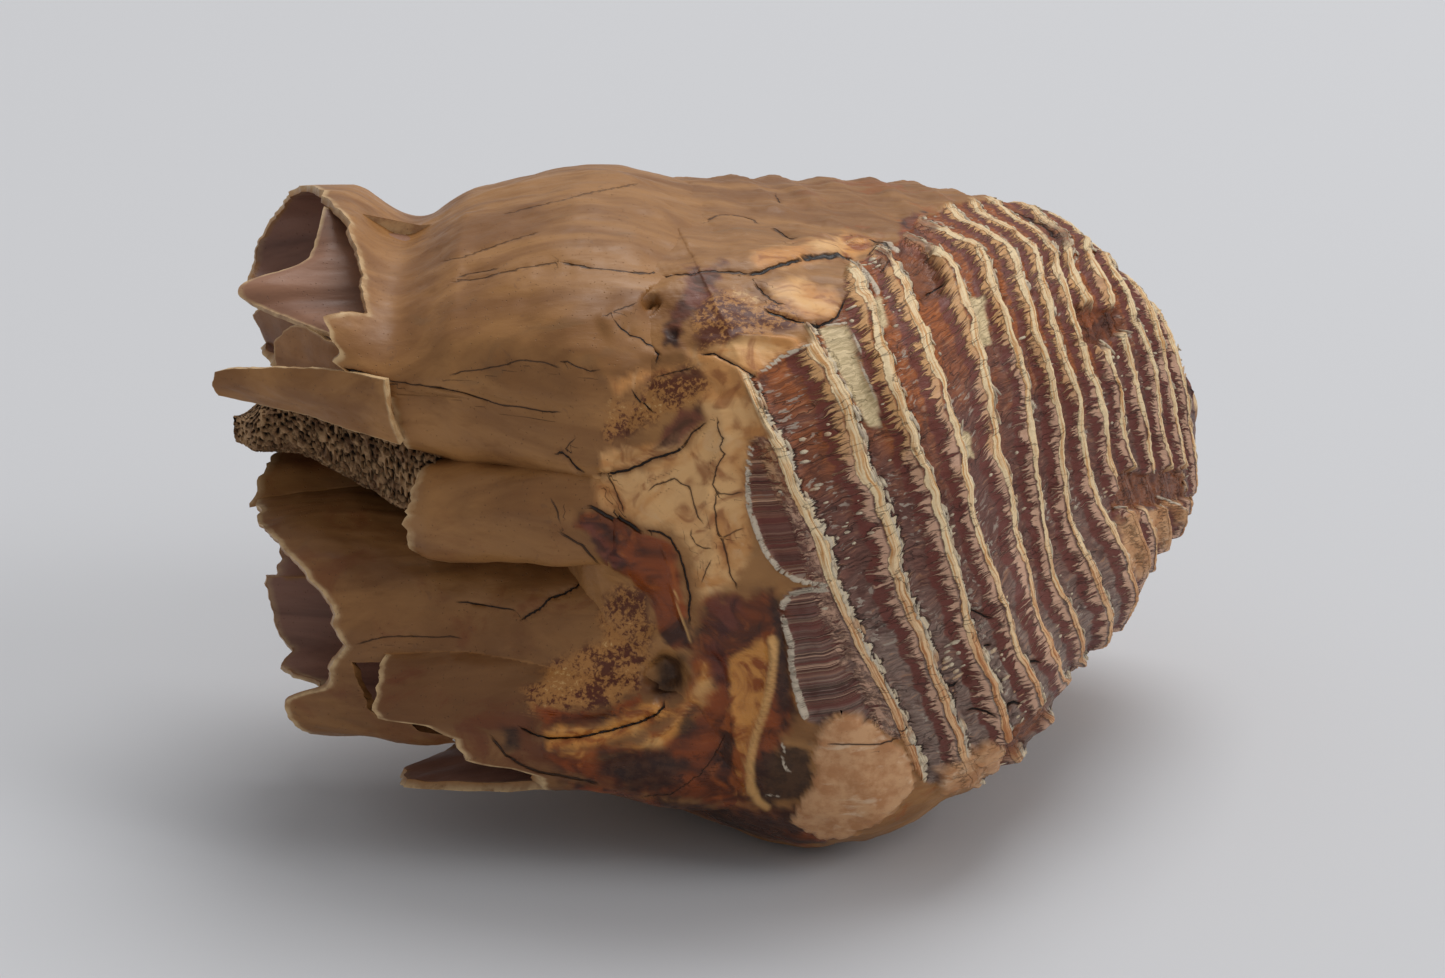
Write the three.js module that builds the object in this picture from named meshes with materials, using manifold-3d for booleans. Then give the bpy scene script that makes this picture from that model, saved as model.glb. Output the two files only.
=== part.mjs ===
// A fossil woolly mammoth molar, lying on its side with its broken roots to the left.
// Millimetres, +Z up. -X is the root end, +X the hind end of the crown, and -Y the near side,
// where the ridged grinding face begins. The points below are in one frame whose ground is z = 0,
// and the whole tooth is moved at the end so that the origin is under the middle of it.
import * as THREE from "three";
import { mergeVertices } from "three/addons/utils/BufferGeometryUtils.js";
import Module from "manifold-3d";

const wasm = await Module();
wasm.setup();

// Driving dimensions.
const MIDDLE = [1.72, 6]; // the middle of the tooth's box, in the frame of the points below
const PLATES = 14; // enamel plates that the grinding face cuts through
const RIDGE_HEIGHT = 2.2; // an enamel ridge above the valleys beside it
const RESTING_CUT = 1.2; // how far the lowest bulge is worn flat
const FIT_GAP = 0.35; // between pieces that only lodge against each other
const ROOT_WALL = 2.8; // a root's wall where it leaves the crown
const RIM_WALL = 1.6; // the same wall at its broken edge

// The crown, as sections that fan out from the roots to the hind end. A section stands on its
// plate: near and far are its ends in plan, low and high its height on the near side, farLow how
// low it reaches on the far side, and the two leans say how far along X its bottom and its top lie
// from its middle.
const CROWN_SECTIONS = [
  { plate: -4, near: [-29, -28], far: [-36, 34], low: 28, high: 78, farLow: 28, lean: [0, 0] },
  { plate: -3, near: [-25, -42], far: [-33, 48], low: 14, high: 97, farLow: 12, lean: [1, 0] },
  { plate: -2, near: [-16, -50], far: [-28, 54], low: 7.5, high: 103, farLow: 3, lean: [4, -2] },
  { plate: -1, near: [1, -56], far: [-24, 56], low: -1.5, high: 104, farLow: -1, lean: [15, -8] },
  { plate: -0.4, near: [12, -59], far: [-20, 57], low: 0.3, high: 104, farLow: -1.5, lean: [17, -12] },
  { plate: 0, near: [19, -58], far: [-18, 58], low: 3, high: 104.3, farLow: -1.5, lean: [20, -15] },
  { plate: 2, near: [39.5, -49], far: [-5, 60], low: 16, high: 103, farLow: -2.5, lean: [23, -14] },
  { plate: 4, near: [49.5, -32], far: [13.5, 61], low: 25.5, high: 101, farLow: -1, lean: [20, -12] },
  { plate: 6, near: [62, -15.5], far: [30.5, 62], low: 30, high: 99, farLow: 4, lean: [17.5, -10] },
  { plate: 8, near: [70.8, 0.5], far: [45.5, 63], low: 32.5, high: 95, farLow: 15, lean: [12, -8] },
  { plate: 10, near: [79, 15], far: [60, 64], low: 34, high: 90.5, farLow: 28, lean: [9, -7.5] },
  { plate: 12, near: [86, 29], far: [74.5, 63], low: 38, high: 77, farLow: 36, lean: [5, -5] },
  { plate: 13.4, near: [90.3, 39], far: [85, 59], low: 41, high: 64, farLow: 42, lean: [1, -3] },
  { plate: 14, near: [90, 45], far: [88.5, 52], low: 47, high: 57, farLow: 47, lean: [0, 0] },
];
// Squareness of a section's lower and upper half: 2 is an ellipse, more is squarer.
const CROWN_SQUARENESS = { low: 4.2, high: 3.4 };
const ROOT_SQUARENESS = { low: 4.4, high: 2.15 };
// The hind ridges are broken away at two heights, given as angles up from the middle.
const BROKEN_RIDGES = { from: 8.5, gaps: [{ angle: 38, half: 7 }, { angle: -30, half: 6 }] };

// Roots. A station is [x, middle y, middle z, half depth, half height], and rim gives the x where
// the wall is broken off at an angle: 0 is the far side, 90 the top, 180 the near side, 270 below.
const UPPER_ROOT = {
  stations: [
    [6, 4, 80, 50, 24],
    [-21, 1, 86, 50, 22.5],
    [-45, 3, 86, 45, 18],
    [-56, 3, 84.7, 41.5, 13.4],
    [-68, 4, 90, 41, 14.2],
    [-92, 5, 89.5, 41, 12.5],
  ],
  rim: [[0, -85.5], [18, -82.3], [30, -80.8], [42, -78.3], [58, -75], [70, -72.5], [80, -70.5],
    [90, -67.5], [100, -65], [115, -62.5], [133, -60.5], [140, -60], [147, -64], [155, -66.5],
    [165, -65], [173, -64], [181, -65.5], [184, -55.5], [195, -55.3], [206, -54.5],
    [218, -53.3], [229, -52.5], [236, -60], [248, -72], [262, -80], [275, -83], [290, -81],
    [305, -87], [318, -89.5], [340, -88]],
  floor: -36,
};
const MIDDLE_ROOT = {
  stations: [
    [-5, 2, 46, 24, 18],
    [-35, 2, 46.5, 18, 15],
    [-60, 1, 46.5, 16.5, 14.5],
    [-90, 0, 46.5, 16, 14.5],
  ],
  rim: [[0, -81], [30, -80], [60, -79], [85, -78.5], [105, -80], [125, -82], [150, -83.5],
    [180, -83], [210, -83], [240, -83], [270, -82], [300, -82], [330, -82]],
  floor: -50,
};
const LOWER_ROOT = {
  stations: [
    [8, -14, 35, 36, 26],
    [-21, -16, 36.5, 35, 22.5],
    [-45, -16.5, 37, 27.5, 20],
    [-68, -16.5, 38, 24.5, 19.5],
    [-90, -15, 36, 23, 19],
  ],
  rim: [[0, -84.3], [20, -84.3], [40, -84.3], [65, -83], [90, -81.5], [108, -80.5], [120, -77.5],
    [134, -73], [145, -70], [156, -66], [170, -66], [176, -64], [182, -66], [190, -67],
    [199, -68], [206, -75.5], [213, -75.2], [222, -72.5], [235, -70], [252, -69], [270, -73],
    [285, -72], [296, -78], [303, -81], [312, -79.5], [325, -82.7], [342, -83.7]],
  floor: -42,
};
const FRONT_ROOT = {
  stations: [
    [14, -31, 31, 20, 20],
    [-8, -33, 29, 21, 17.5],
    [-22, -34, 29.5, 20.5, 14.5],
    [-40, -34, 28, 18.5, 14],
    [-64, -33, 25.3, 17.5, 14.3],
  ],
  rim: [[0, -48], [30, -51], [60, -54], [90, -56], [115, -57.5], [140, -58.5], [158, -59],
    [163, -58], [171, -50], [183, -45], [198, -43.5], [212, -31], [225, -30], [236, -40],
    [246, -51], [254, -56], [272, -56], [286, -50], [305, -44], [335, -45]],
  floor: -20,
};
const STUB_ROOT = [
  [-5, -34, 66, 12, 12],
  [-25, -40, 65.5, 10, 9.5],
  [-42, -37.5, 63.8, 9, 8.6],
  [-49.5, -36.5, 63, 8.2, 7.8],
  [-53.5, -36, 62.6, 6, 5.8],
];

// A thin wall of dentine that divides the upper root, from its broken left edge to where it joins
// the crown, and two scraps of the root's lower wall that still stand up in it.
const SEPTUM = {
  wall: 1.6,
  lines: [
    [[-71, 9, 102.6], [-72, 1, 97.5], [-74, -3, 95.5], [-84, -8, 93], [-80, -11, 90], [-67, -21, 88]],
    [[-55, 9, 97], [-55, 1, 95.5], [-55, -3, 94], [-56, -8, 92], [-56, -12, 90], [-55, -23, 88]],
    [[-34, 9, 101], [-34, 1, 96], [-34, -4, 93], [-34, -9, 91], [-34, -15, 89], [-34, -24, 87]],
  ],
};
const FAR_SCRAP = {
  wall: 1.6,
  lines: [
    [[-84.5, 9, 83], [-79.5, 4, 87], [-75, 0, 84.5]],
    [[-81, 7, 76.5], [-78, 3, 76.5], [-74, 0, 76.5]],
  ],
};
const NEAR_SCRAP = {
  wall: 1.6,
  lines: [
    [[-78, -12, 84.5], [-73.5, -16, 89], [-66, -23, 87.5], [-58, -27, 86]],
    [[-78, -13, 76.5], [-73, -16, 76.5], [-66, -21, 75], [-58, -25, 73.5]],
  ],
};

// The shard that has split from the near wall of the upper root, by its outer face.
const SPLINTER = {
  wall: 2.2,
  lines: [
    [[-85.5, -26.5, 83.2], [-83.5, -28, 84.8], [-77, -31, 86], [-70, -34, 87], [-63, -37.5, 87.6],
      [-56.1, -41.5, 87.4]],
    [[-87, -26.5, 81.5], [-83.5, -28, 82], [-77, -31.2, 82.6], [-70, -34.6, 82.6],
      [-63, -38.3, 82.4], [-55.4, -42.2, 81.6]],
    [[-85, -25, 79.5], [-82.5, -25.5, 78.5], [-77, -28, 78], [-70, -31.5, 77.6], [-63, -35.4, 76.6],
      [-53.8, -39.8, 75.4]],
  ],
};

// Jaw bone that has stayed between the roots, and the hollow that opens at its root end.
const JAW_BONE = {
  stations: [
    [-85.5, -4, 64.5, 6, 2.4],
    [-82, -3, 66, 14, 3.8],
    [-79.5, -3, 68, 17, 5.5],
    [-72, -3, 68.5, 20, 6.5],
    [-60, -6, 66, 23, 8.5],
    [-50, -12, 65, 25, 9],
    [-44, -14, 66, 19, 5],
  ],
  lump: 0.9,
  rise: 5, // how much higher its near edge lies
};
const JAW_HOLLOW = { middle: [-84, -7, 58], half: [12, 13, 7] };

// Low bases of roots on the far side: [x, z, radius, length].
const FAR_ROOTS = [
  [-14, 66, 14, 13],
  [-10, 27, 14, 11],
  [18, 66, 13, 11],
  [21, 30, 13, 9],
  [44, 66, 11, 8],
];
const FAR_FACE = 58; // y where those roots begin, just inside the crown

// Hollows in the front of the crown: a small round hole and the pit under the front fold.
const HOLLOWS = [
  { middle: [-12.5, -41, 101.5], half: [2.4, 5, 2.4] },
  { middle: [-9, -56, 36], half: [5.5, 7, 7.5] },
];

const degrees = THREE.MathUtils.degToRad;

// The row of a list of [position, value, ...] rows at a position, along a smooth curve.
function smoothRow(rows, at) {
  const last = rows.length - 1;
  const falling = rows[0][0] > rows[last][0];
  let i = 0;
  while (i < last - 1 && (falling ? at < rows[i + 1][0] : at > rows[i + 1][0])) i += 1;
  const t = THREE.MathUtils.clamp((at - rows[i][0]) / (rows[i + 1][0] - rows[i][0]), 0, 1);
  const four = [Math.max(i - 1, 0), i, i + 1, Math.min(i + 2, last)].map((n) => rows[n]);
  return four[1].map((_, k) => {
    const [a, b, c, d] = four.map((row) => row[k]);
    return 0.5 * (2 * b + (c - a) * t + (2 * a - 5 * b + 4 * c - d) * t * t
      + (3 * b - a - 3 * c + d) * t * t * t);
  });
}

// A direction round a section, as two numbers that are 1 at the flat of each side.
function squareRing(angle, squareness) {
  const c = Math.cos(angle);
  const s = Math.sin(angle);
  const power = s > 0 ? squareness.high : squareness.low;
  const reach = (Math.abs(c) ** power + Math.abs(s) ** power) ** (-1 / power);
  return [reach * c, reach * s];
}

// A closed geometry through rings of equal length, each end closed to the middle of its ring.
function closedLoft(rings) {
  const sides = rings[0].length;
  const middle = (ring) => ring.reduce((sum, p) => sum.add(p), new THREE.Vector3())
    .divideScalar(sides);
  const points = [middle(rings[0]), ...rings.flat(), middle(rings.at(-1))];
  const at = (ring, side) => 1 + ring * sides + (side % sides);
  const faces = [];
  for (let s = 0; s < sides; s += 1) {
    faces.push(0, at(0, s + 1), at(0, s));
    for (let r = 0; r < rings.length - 1; r += 1) {
      faces.push(at(r, s), at(r, s + 1), at(r + 1, s));
      faces.push(at(r, s + 1), at(r + 1, s + 1), at(r + 1, s));
    }
    faces.push(points.length - 1, at(rings.length - 1, s), at(rings.length - 1, s + 1));
  }
  const geometry = new THREE.BufferGeometry().setFromPoints(points);
  geometry.setIndex(faces);
  return geometry;
}

// A manifold-3d solid of a closed geometry, turned right side out.
function solidOf(geometry) {
  geometry.deleteAttribute("normal");
  geometry.deleteAttribute("uv");
  const merged = mergeVertices(geometry, 1e-4);
  const triVerts = new Uint32Array(merged.index.array);
  const vertProperties = new Float32Array(merged.attributes.position.array);
  const solid = new wasm.Manifold(new wasm.Mesh({ numProp: 3, vertProperties, triVerts }));
  if (solid.volume() > 0) return solid;
  for (let i = 0; i < triVerts.length; i += 3) {
    [triVerts[i + 1], triVerts[i + 2]] = [triVerts[i + 2], triVerts[i + 1]];
  }
  return new wasm.Manifold(new wasm.Mesh({ numProp: 3, vertProperties, triVerts }));
}

function ellipsoid({ middle, half }) {
  return solidOf(new THREE.SphereGeometry(1, 10, 8).scale(...half).translate(...middle));
}

// A point of the crown, by plate number and by angle round its section: 0 is the near side and
// 90 degrees the top.
function crownPoint(plate, angle) {
  const rows = CROWN_SECTIONS.map((s) => (
    [s.plate, ...s.near, ...s.far, s.low, s.high, s.farLow, ...s.lean]));
  const [, nearX, nearY, farX, farY, low, high, farLow, leanLow, leanHigh] = smoothRow(rows, plate);
  const [c, up] = squareRing(angle, CROWN_SQUARENESS);
  const across = 0.5 + 0.5 * c;
  const lean = (up > 0 ? leanHigh : leanLow) * Math.abs(up) ** 1.3 * across;
  const middle = (low + high) / 2;
  const nearby = THREE.MathUtils.smoothstep(across, 0.45, 1);
  const reach = up > 0 ? high - middle : middle - THREE.MathUtils.lerp(farLow, low, nearby);
  return new THREE.Vector3(
    farX + (nearX - farX) * across + lean,
    farY + (nearY - farY) * across,
    middle + reach * up,
  );
}

// How proud the enamel stands at a plate number and angle: full on the grinding face, lower on the
// first plate, gone where the hind ridges are broken.
function ridge(plate, angle) {
  const turn = THREE.MathUtils.euclideanModulo(angle + Math.PI, 2 * Math.PI) - Math.PI;
  const onFace = 1 - THREE.MathUtils.smoothstep(Math.abs(turn), degrees(50), degrees(85));
  const profile = 1 - THREE.MathUtils.smoothstep(Math.abs(plate - Math.round(plate)), 0.14, 0.34);
  const grown = THREE.MathUtils.lerp(0.4, 1, THREE.MathUtils.smoothstep(plate, -0.6, 2));
  const broken = plate > BROKEN_RIDGES.from
    && BROKEN_RIDGES.gaps.some((gap) => Math.abs(turn - degrees(gap.angle)) < degrees(gap.half));
  const present = plate > -0.5 && plate < PLATES - 0.5 && !broken;
  return present ? RIDGE_HEIGHT * profile * onFace * grown : 0;
}

function crownSolid(sides) {
  const plates = [-4, -3.6, -3.2, -2.7, -2.2, -1.7, -1.1, -0.7];
  for (let k = 0; k < PLATES; k += 1) plates.push(k - 0.45, k - 0.17, k + 0.15);
  plates.push(13.7, PLATES);
  const rings = plates.map((plate) => {
    const ring = [];
    for (let i = 0; i < sides; i += 1) {
      // more points on the near half, where the ridges are
      const share = i / sides;
      const angle = 2 * Math.PI * share - 0.35 * Math.sin(2 * Math.PI * share);
      const ahead = crownPoint(Math.min(plate + 0.05, PLATES), angle);
      const behind = crownPoint(Math.max(plate - 0.05, -4), angle);
      const round = crownPoint(plate, angle + 0.02).sub(crownPoint(plate, angle - 0.02));
      const out = new THREE.Vector3().crossVectors(ahead.sub(behind), round).normalize();
      ring.push(crownPoint(plate, angle).addScaledVector(out, ridge(plate, angle)));
    }
    return ring;
  });
  return solidOf(closedLoft(rings));
}

// A ring point at an x and an angle in degrees, with the half sizes grown by some mm.
function rootPoint(stations, x, angle, grow) {
  const [, midY, midZ, halfDepth, halfHeight] = smoothRow(stations, x);
  const [c, s] = squareRing(degrees(angle), ROOT_SQUARENESS);
  return new THREE.Vector3(x, midY + (halfDepth + grow) * c, midZ + (halfHeight + grow) * s);
}

// The whole form of a root out to its broken rim, grown by some mm.
function rootForm({ stations, rim }, grow = 0) {
  const base = stations[0][0];
  const shares = [0, 0.18, 0.36, 0.54, 0.7, 0.85, 1];
  return solidOf(closedLoft(shares.map((share) => rim.map(([angle, end]) => (
    rootPoint(stations, THREE.MathUtils.lerp(base, end - grow, share), angle, grow))))));
}

// The hollow in a root, from its rounded floor to past the rim.
function rootHollow({ stations, rim, floor }) {
  const past = 6;
  const shares = [0, 0.08, 0.25, 0.45, 0.65, 0.85, 1];
  return solidOf(closedLoft(shares.map((share) => rim.map(([angle, end]) => {
    const x = THREE.MathUtils.lerp(floor, end - past, share);
    const wall = THREE.MathUtils.lerp(ROOT_WALL, RIM_WALL, Math.min(share * 1.2, 1));
    const [, midY, midZ] = smoothRow(stations, x);
    const centre = new THREE.Vector3(x, midY, midZ);
    return centre.lerp(rootPoint(stations, x, angle, -wall), share > 0 ? 1 : 0.65);
  }))));
}

// A solid through round stations, grown by some mm, roughened with low lumps and raised towards
// its near edge.
function stumpForm(stations, sides, { grow = 0, lump = 0, rise = 0 } = {}) {
  const rings = stations.map(([x], r) => Array.from({ length: sides }, (_, i) => {
    const angle = (360 * i) / sides;
    const rough = lump * Math.sin(i * 2.4 + r * 1.7) * Math.cos(i * 1.1 - r * 2.3);
    const point = rootPoint(stations, x + rough, angle, grow + rough);
    point.z += rise * Math.max(0, -Math.cos(degrees(angle)));
    return point;
  }));
  return solidOf(closedLoft(rings));
}

// A curved sheet through lines of points, some mm thick and grown by some mm on every face.
function sheetSolid({ lines, wall }, grow = 0) {
  const at = (r, c) => new THREE.Vector3(...lines[r][c]);
  const rows = lines.length;
  const columns = lines[0].length;
  const normal = (r, c) => {
    const down = at(Math.min(r + 1, rows - 1), c).sub(at(Math.max(r - 1, 0), c));
    const along = at(r, Math.min(c + 1, columns - 1)).sub(at(r, Math.max(c - 1, 0)));
    return new THREE.Vector3().crossVectors(down, along).normalize();
  };
  const middle = at(0, 0).add(at(rows - 1, columns - 1)).multiplyScalar(0.5);
  // each ring goes once round the sheet's thickness, across its lines
  const rings = [];
  for (let c = 0; c < columns; c += 1) {
    const ring = [];
    for (let r = 0; r < rows; r += 1) ring.push(at(r, c).addScaledVector(normal(r, c), grow));
    for (let r = rows - 1; r >= 0; r -= 1) {
      ring.push(at(r, c).addScaledVector(normal(r, c), -wall - grow));
    }
    rings.push(ring);
  }
  if (grow > 0) {
    rings.flat().forEach((p) => {
      const outward = new THREE.Vector3(p.x - middle.x, 0, p.z - middle.z).normalize();
      p.addScaledVector(outward, grow);
    });
  }
  return solidOf(closedLoft(rings));
}

// A low root base on the far side, broken off short, with the pulp's hollow in its end.
function farRoot([x, z, radius, length]) {
  const sides = 12;
  const profile = [[-0.3, 1.65], [0.25, 1.3], [0.7, 1.08], [1, 0.94]];
  const base = closedLoft(profile.map(([share, size]) => (
    Array.from({ length: sides }, (_, i) => {
      const angle = (2 * Math.PI * i) / sides;
      const rough = 1 + 0.05 * Math.sin(2 * angle + x) + 0.03 * Math.cos(5 * angle + z);
      return new THREE.Vector3(
        x + radius * size * rough * Math.cos(angle),
        FAR_FACE + length * share * rough,
        z + 0.85 * radius * size * rough * Math.sin(angle),
      );
    }))));
  const pulp = { middle: [x, FAR_FACE + length, z], half: [radius * 0.55, 4, radius * 0.42] };
  return solidOf(base).subtract(ellipsoid(pulp));
}

// A mesh of a solid, in its colour.
function meshOf(name, solid, colour, roughness) {
  const { vertProperties, triVerts } = solid.getMesh();
  const geometry = new THREE.BufferGeometry();
  geometry.setAttribute("position", new THREE.BufferAttribute(vertProperties, 3));
  geometry.setIndex(new THREE.BufferAttribute(triVerts, 1));
  geometry.computeVertexNormals();
  const material = new THREE.MeshStandardMaterial({ color: colour, roughness, metalness: 0 });
  const mesh = new THREE.Mesh(geometry, material);
  mesh.name = name;
  return mesh;
}

const joined = (solids) => solids.reduce((sum, solid) => sum.add(solid));
const largest = (solid) => solid.decompose().sort((a, b) => b.volume() - a.volume())[0];

const HOLLOW_ROOTS = [UPPER_ROOT, MIDDLE_ROOT, LOWER_ROOT, FRONT_ROOT];
const INNER_SHEETS = [SEPTUM, FAR_SCRAP, NEAR_SCRAP];

function toothSolid() {
  const stub = stumpForm(STUB_ROOT, 16);
  const grown = joined([...HOLLOW_ROOTS.map((root) => rootForm(root)), stub]);
  const hollows = joined(HOLLOW_ROOTS.map(rootHollow)).subtract(stub);
  const sheets = joined(INNER_SHEETS.map((sheet) => sheetSolid(sheet)));
  const pits = joined(HOLLOWS.map(ellipsoid));
  const ground = solidOf(new THREE.BoxGeometry(300, 300, 40).translate(0, 0, RESTING_CUT - 21));
  const crown = joined([crownSolid(36), ...FAR_ROOTS.map(farRoot)]).subtract(pits);
  const bed = sheetSolid(SPLINTER, FIT_GAP);
  return largest(joined([grown.subtract(hollows), sheets, crown]).subtract(ground).subtract(bed));
}

function jawBoneSolid() {
  const around = joined([
    ...HOLLOW_ROOTS.map((root) => rootForm(root, FIT_GAP)),
    ...[...INNER_SHEETS, SPLINTER].map((sheet) => sheetSolid(sheet, FIT_GAP)),
    stumpForm(STUB_ROOT, 16, { grow: FIT_GAP }),
    ellipsoid(JAW_HOLLOW),
  ]);
  return largest(stumpForm(JAW_BONE.stations, 22, JAW_BONE).subtract(around));
}

const group = new THREE.Group();
group.add(meshOf("tooth", toothSolid(), 0xa9784a, 0.5));
group.add(meshOf("root_splinter", sheetSolid(SPLINTER), 0x94693f, 0.5));
group.add(meshOf("jaw_bone", jawBoneSolid(), 0x6d563b, 0.9));
group.position.set(-MIDDLE[0], -MIDDLE[1], -(RESTING_CUT - 1));

export default group;
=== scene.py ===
"""A fossil woolly mammoth molar, lying on its side with its broken roots to the left.

The crown, the roots, the thin walls inside them, the split-off shard and the jaw bone are
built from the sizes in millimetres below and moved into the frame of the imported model.
"""
import logging
import math
from dataclasses import dataclass, field
from enum import Enum

import bmesh
import bpy
import numpy as np
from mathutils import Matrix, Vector


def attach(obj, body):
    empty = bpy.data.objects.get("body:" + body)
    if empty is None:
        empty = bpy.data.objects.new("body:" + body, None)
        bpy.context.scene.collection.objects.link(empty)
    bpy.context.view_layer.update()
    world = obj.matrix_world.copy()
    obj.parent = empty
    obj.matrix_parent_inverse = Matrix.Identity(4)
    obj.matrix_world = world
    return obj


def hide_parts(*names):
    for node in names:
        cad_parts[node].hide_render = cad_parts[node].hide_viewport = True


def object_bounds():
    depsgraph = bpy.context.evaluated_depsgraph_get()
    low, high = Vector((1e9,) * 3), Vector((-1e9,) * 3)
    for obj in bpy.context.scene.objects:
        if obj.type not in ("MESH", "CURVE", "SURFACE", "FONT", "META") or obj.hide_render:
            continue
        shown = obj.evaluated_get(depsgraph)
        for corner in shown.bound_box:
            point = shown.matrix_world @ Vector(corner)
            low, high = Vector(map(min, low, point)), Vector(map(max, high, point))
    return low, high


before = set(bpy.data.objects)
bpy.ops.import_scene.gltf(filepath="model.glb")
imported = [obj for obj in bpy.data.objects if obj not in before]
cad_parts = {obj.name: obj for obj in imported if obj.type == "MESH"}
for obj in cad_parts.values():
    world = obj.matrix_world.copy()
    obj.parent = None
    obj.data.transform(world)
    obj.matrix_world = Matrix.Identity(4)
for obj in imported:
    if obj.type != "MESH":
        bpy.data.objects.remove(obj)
CAD_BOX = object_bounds()

LOG = logging.getLogger("mammoth_molar")
MM = 0.001
MIDDLE = np.array([1.72, 6.0, 0.2])  # the tooth's middle in the working frame, in mm
DETAIL = 1.0  # spacing of the surface points, as a multiple
PLATE_STEP = 9.4  # mm from one ridge to the next on most of the face
MARGIN = 1e-5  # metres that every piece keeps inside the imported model's box
SHARP_ROOTS, SHARP_SHEETS, SHARP_SPONGE = 48.0, 50.0, 70.0  # degrees from which edges stay sharp
NO_CRACK = 12.0  # the distance to a crack where none is near, in widths of it
Array = np.ndarray
Piece = bpy.types.Object
Material = bpy.types.Material
Socket = bpy.types.NodeSocket
Sockets = bpy.types.bpy_prop_collection
Colour = tuple[float, float, float]  # red, green and blue, each up to 255

# The ridges' crests and the other marks of the near side are placed by where they lie in the
# view: across, down, across, down and so on, in a picture of 1445 by 978.
CRESTS = [
    (740, 370, 762, 420, 783, 460, 800, 500, 820, 540, 835, 590, 862, 650, 886, 690, 903, 730, 920,
     770, 924, 800, 905, 830),
    (808, 325, 825, 360, 845, 400, 858, 430, 870, 470, 882, 500, 893, 530, 900, 570, 912, 610, 923,
     640, 933, 670, 945, 700, 960, 735, 972, 770, 978, 790),
    (855, 258, 870, 290, 880, 320, 893, 360, 905, 400, 920, 450, 940, 490, 950, 530, 962, 580, 972,
     620, 985, 660, 995, 690, 1005, 715),
    (893, 240, 912, 290, 930, 330, 945, 370, 957, 410, 970, 450, 976, 500, 988, 540, 1003, 580,
     1013, 620, 1030, 660, 1048, 700),
    (925, 210, 945, 240, 965, 280, 980, 320, 990, 370, 1002, 420, 1008, 460, 1020, 510, 1032, 560,
     1042, 610, 1058, 650, 1073, 680),
    (960, 200, 978, 225, 993, 270, 1008, 310, 1025, 350, 1036, 400, 1040, 460, 1048, 510, 1056,
     560, 1068, 610, 1080, 640),
    (995, 205, 1016, 245, 1032, 290, 1043, 330, 1057, 375, 1066, 420, 1070, 480, 1077, 530, 1085,
     580, 1100, 625),
    (1028, 215, 1045, 260, 1056, 300, 1072, 350, 1084, 395, 1092, 440, 1097, 500, 1107, 560, 1118,
     600),
    (1047, 218, 1063, 260, 1076, 300, 1090, 345, 1102, 390, 1108, 430, 1117, 490, 1127, 550, 1137,
     590),
    (1068, 228, 1080, 270, 1093, 310, 1107, 350, 1125, 410, 1131, 470, 1140, 520, 1158, 570),
    (1090, 235, 1103, 270, 1112, 300, 1130, 350, 1146, 410, 1152, 465, 1160, 510, 1172, 550),
    (1110, 250, 1122, 285, 1138, 335, 1158, 400, 1168, 460, 1182, 520),
    (1130, 270, 1150, 320, 1172, 390, 1184, 450, 1192, 500),
    (1150, 292, 1172, 345, 1190, 400, 1200, 450, 1202, 490),
]


def smoothstep(value: Array, low: float, high: float) -> Array:
    """The smooth step from 0 at low to 1 at high."""
    share = np.clip((value - low) / (high - low), 0.0, 1.0)
    return share * share * (3.0 - 2.0 * share)


def lerp(start: Array, end: Array, share: Array) -> Array:
    """The value between start and end at a share."""
    return start + (end - start) * share


def smooth_rows(rows: Array | tuple[tuple[float, ...], ...], at: Array) -> Array:
    """Rows of [position, value, ...] read at positions, along a smooth curve.

    Args:
        rows: one row for each known position, rising or falling.
        at: the positions to read.

    Returns:
        The values, with the row's length as the last axis.
    """
    rows = np.asarray(rows, float)
    keys = rows[:, 0]
    last = len(keys) - 1
    if keys[0] > keys[-1]:
        i = last - np.searchsorted(keys[::-1], at, side="left")
    else:
        i = np.searchsorted(keys, at, side="right") - 1
    i = np.clip(i, 0, last - 1)
    t = np.clip((at - keys[i]) / (keys[i + 1] - keys[i]), 0.0, 1.0)[..., None]
    a, b = rows[np.maximum(i - 1, 0)], rows[i]
    c, d = rows[i + 1], rows[np.minimum(i + 2, last)]
    return 0.5 * (2 * b + (c - a) * t + (2 * a - 5 * b + 4 * c - d) * t * t
                  + (3 * b - a - 3 * c + d) * t ** 3)


def square_ring(angle: Array, low: float, high: float) -> tuple[Array, Array]:
    """A direction round a section that is 1 at the flat of each side.

    Args:
        angle: angles in radians.
        low: squareness of the lower half.
        high: squareness of the upper half.

    Returns:
        The two coordinates.
    """
    c, s = np.cos(angle), np.sin(angle)
    power = np.where(s > 0, high, low)
    reach = (np.abs(c) ** power + np.abs(s) ** power + 1e-12) ** (-1.0 / power)
    return reach * c, reach * s


def unit(vectors: Array) -> Array:
    """The vectors at length 1."""
    return vectors / np.maximum(np.linalg.norm(vectors, axis=-1, keepdims=True), 1e-9)


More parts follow.
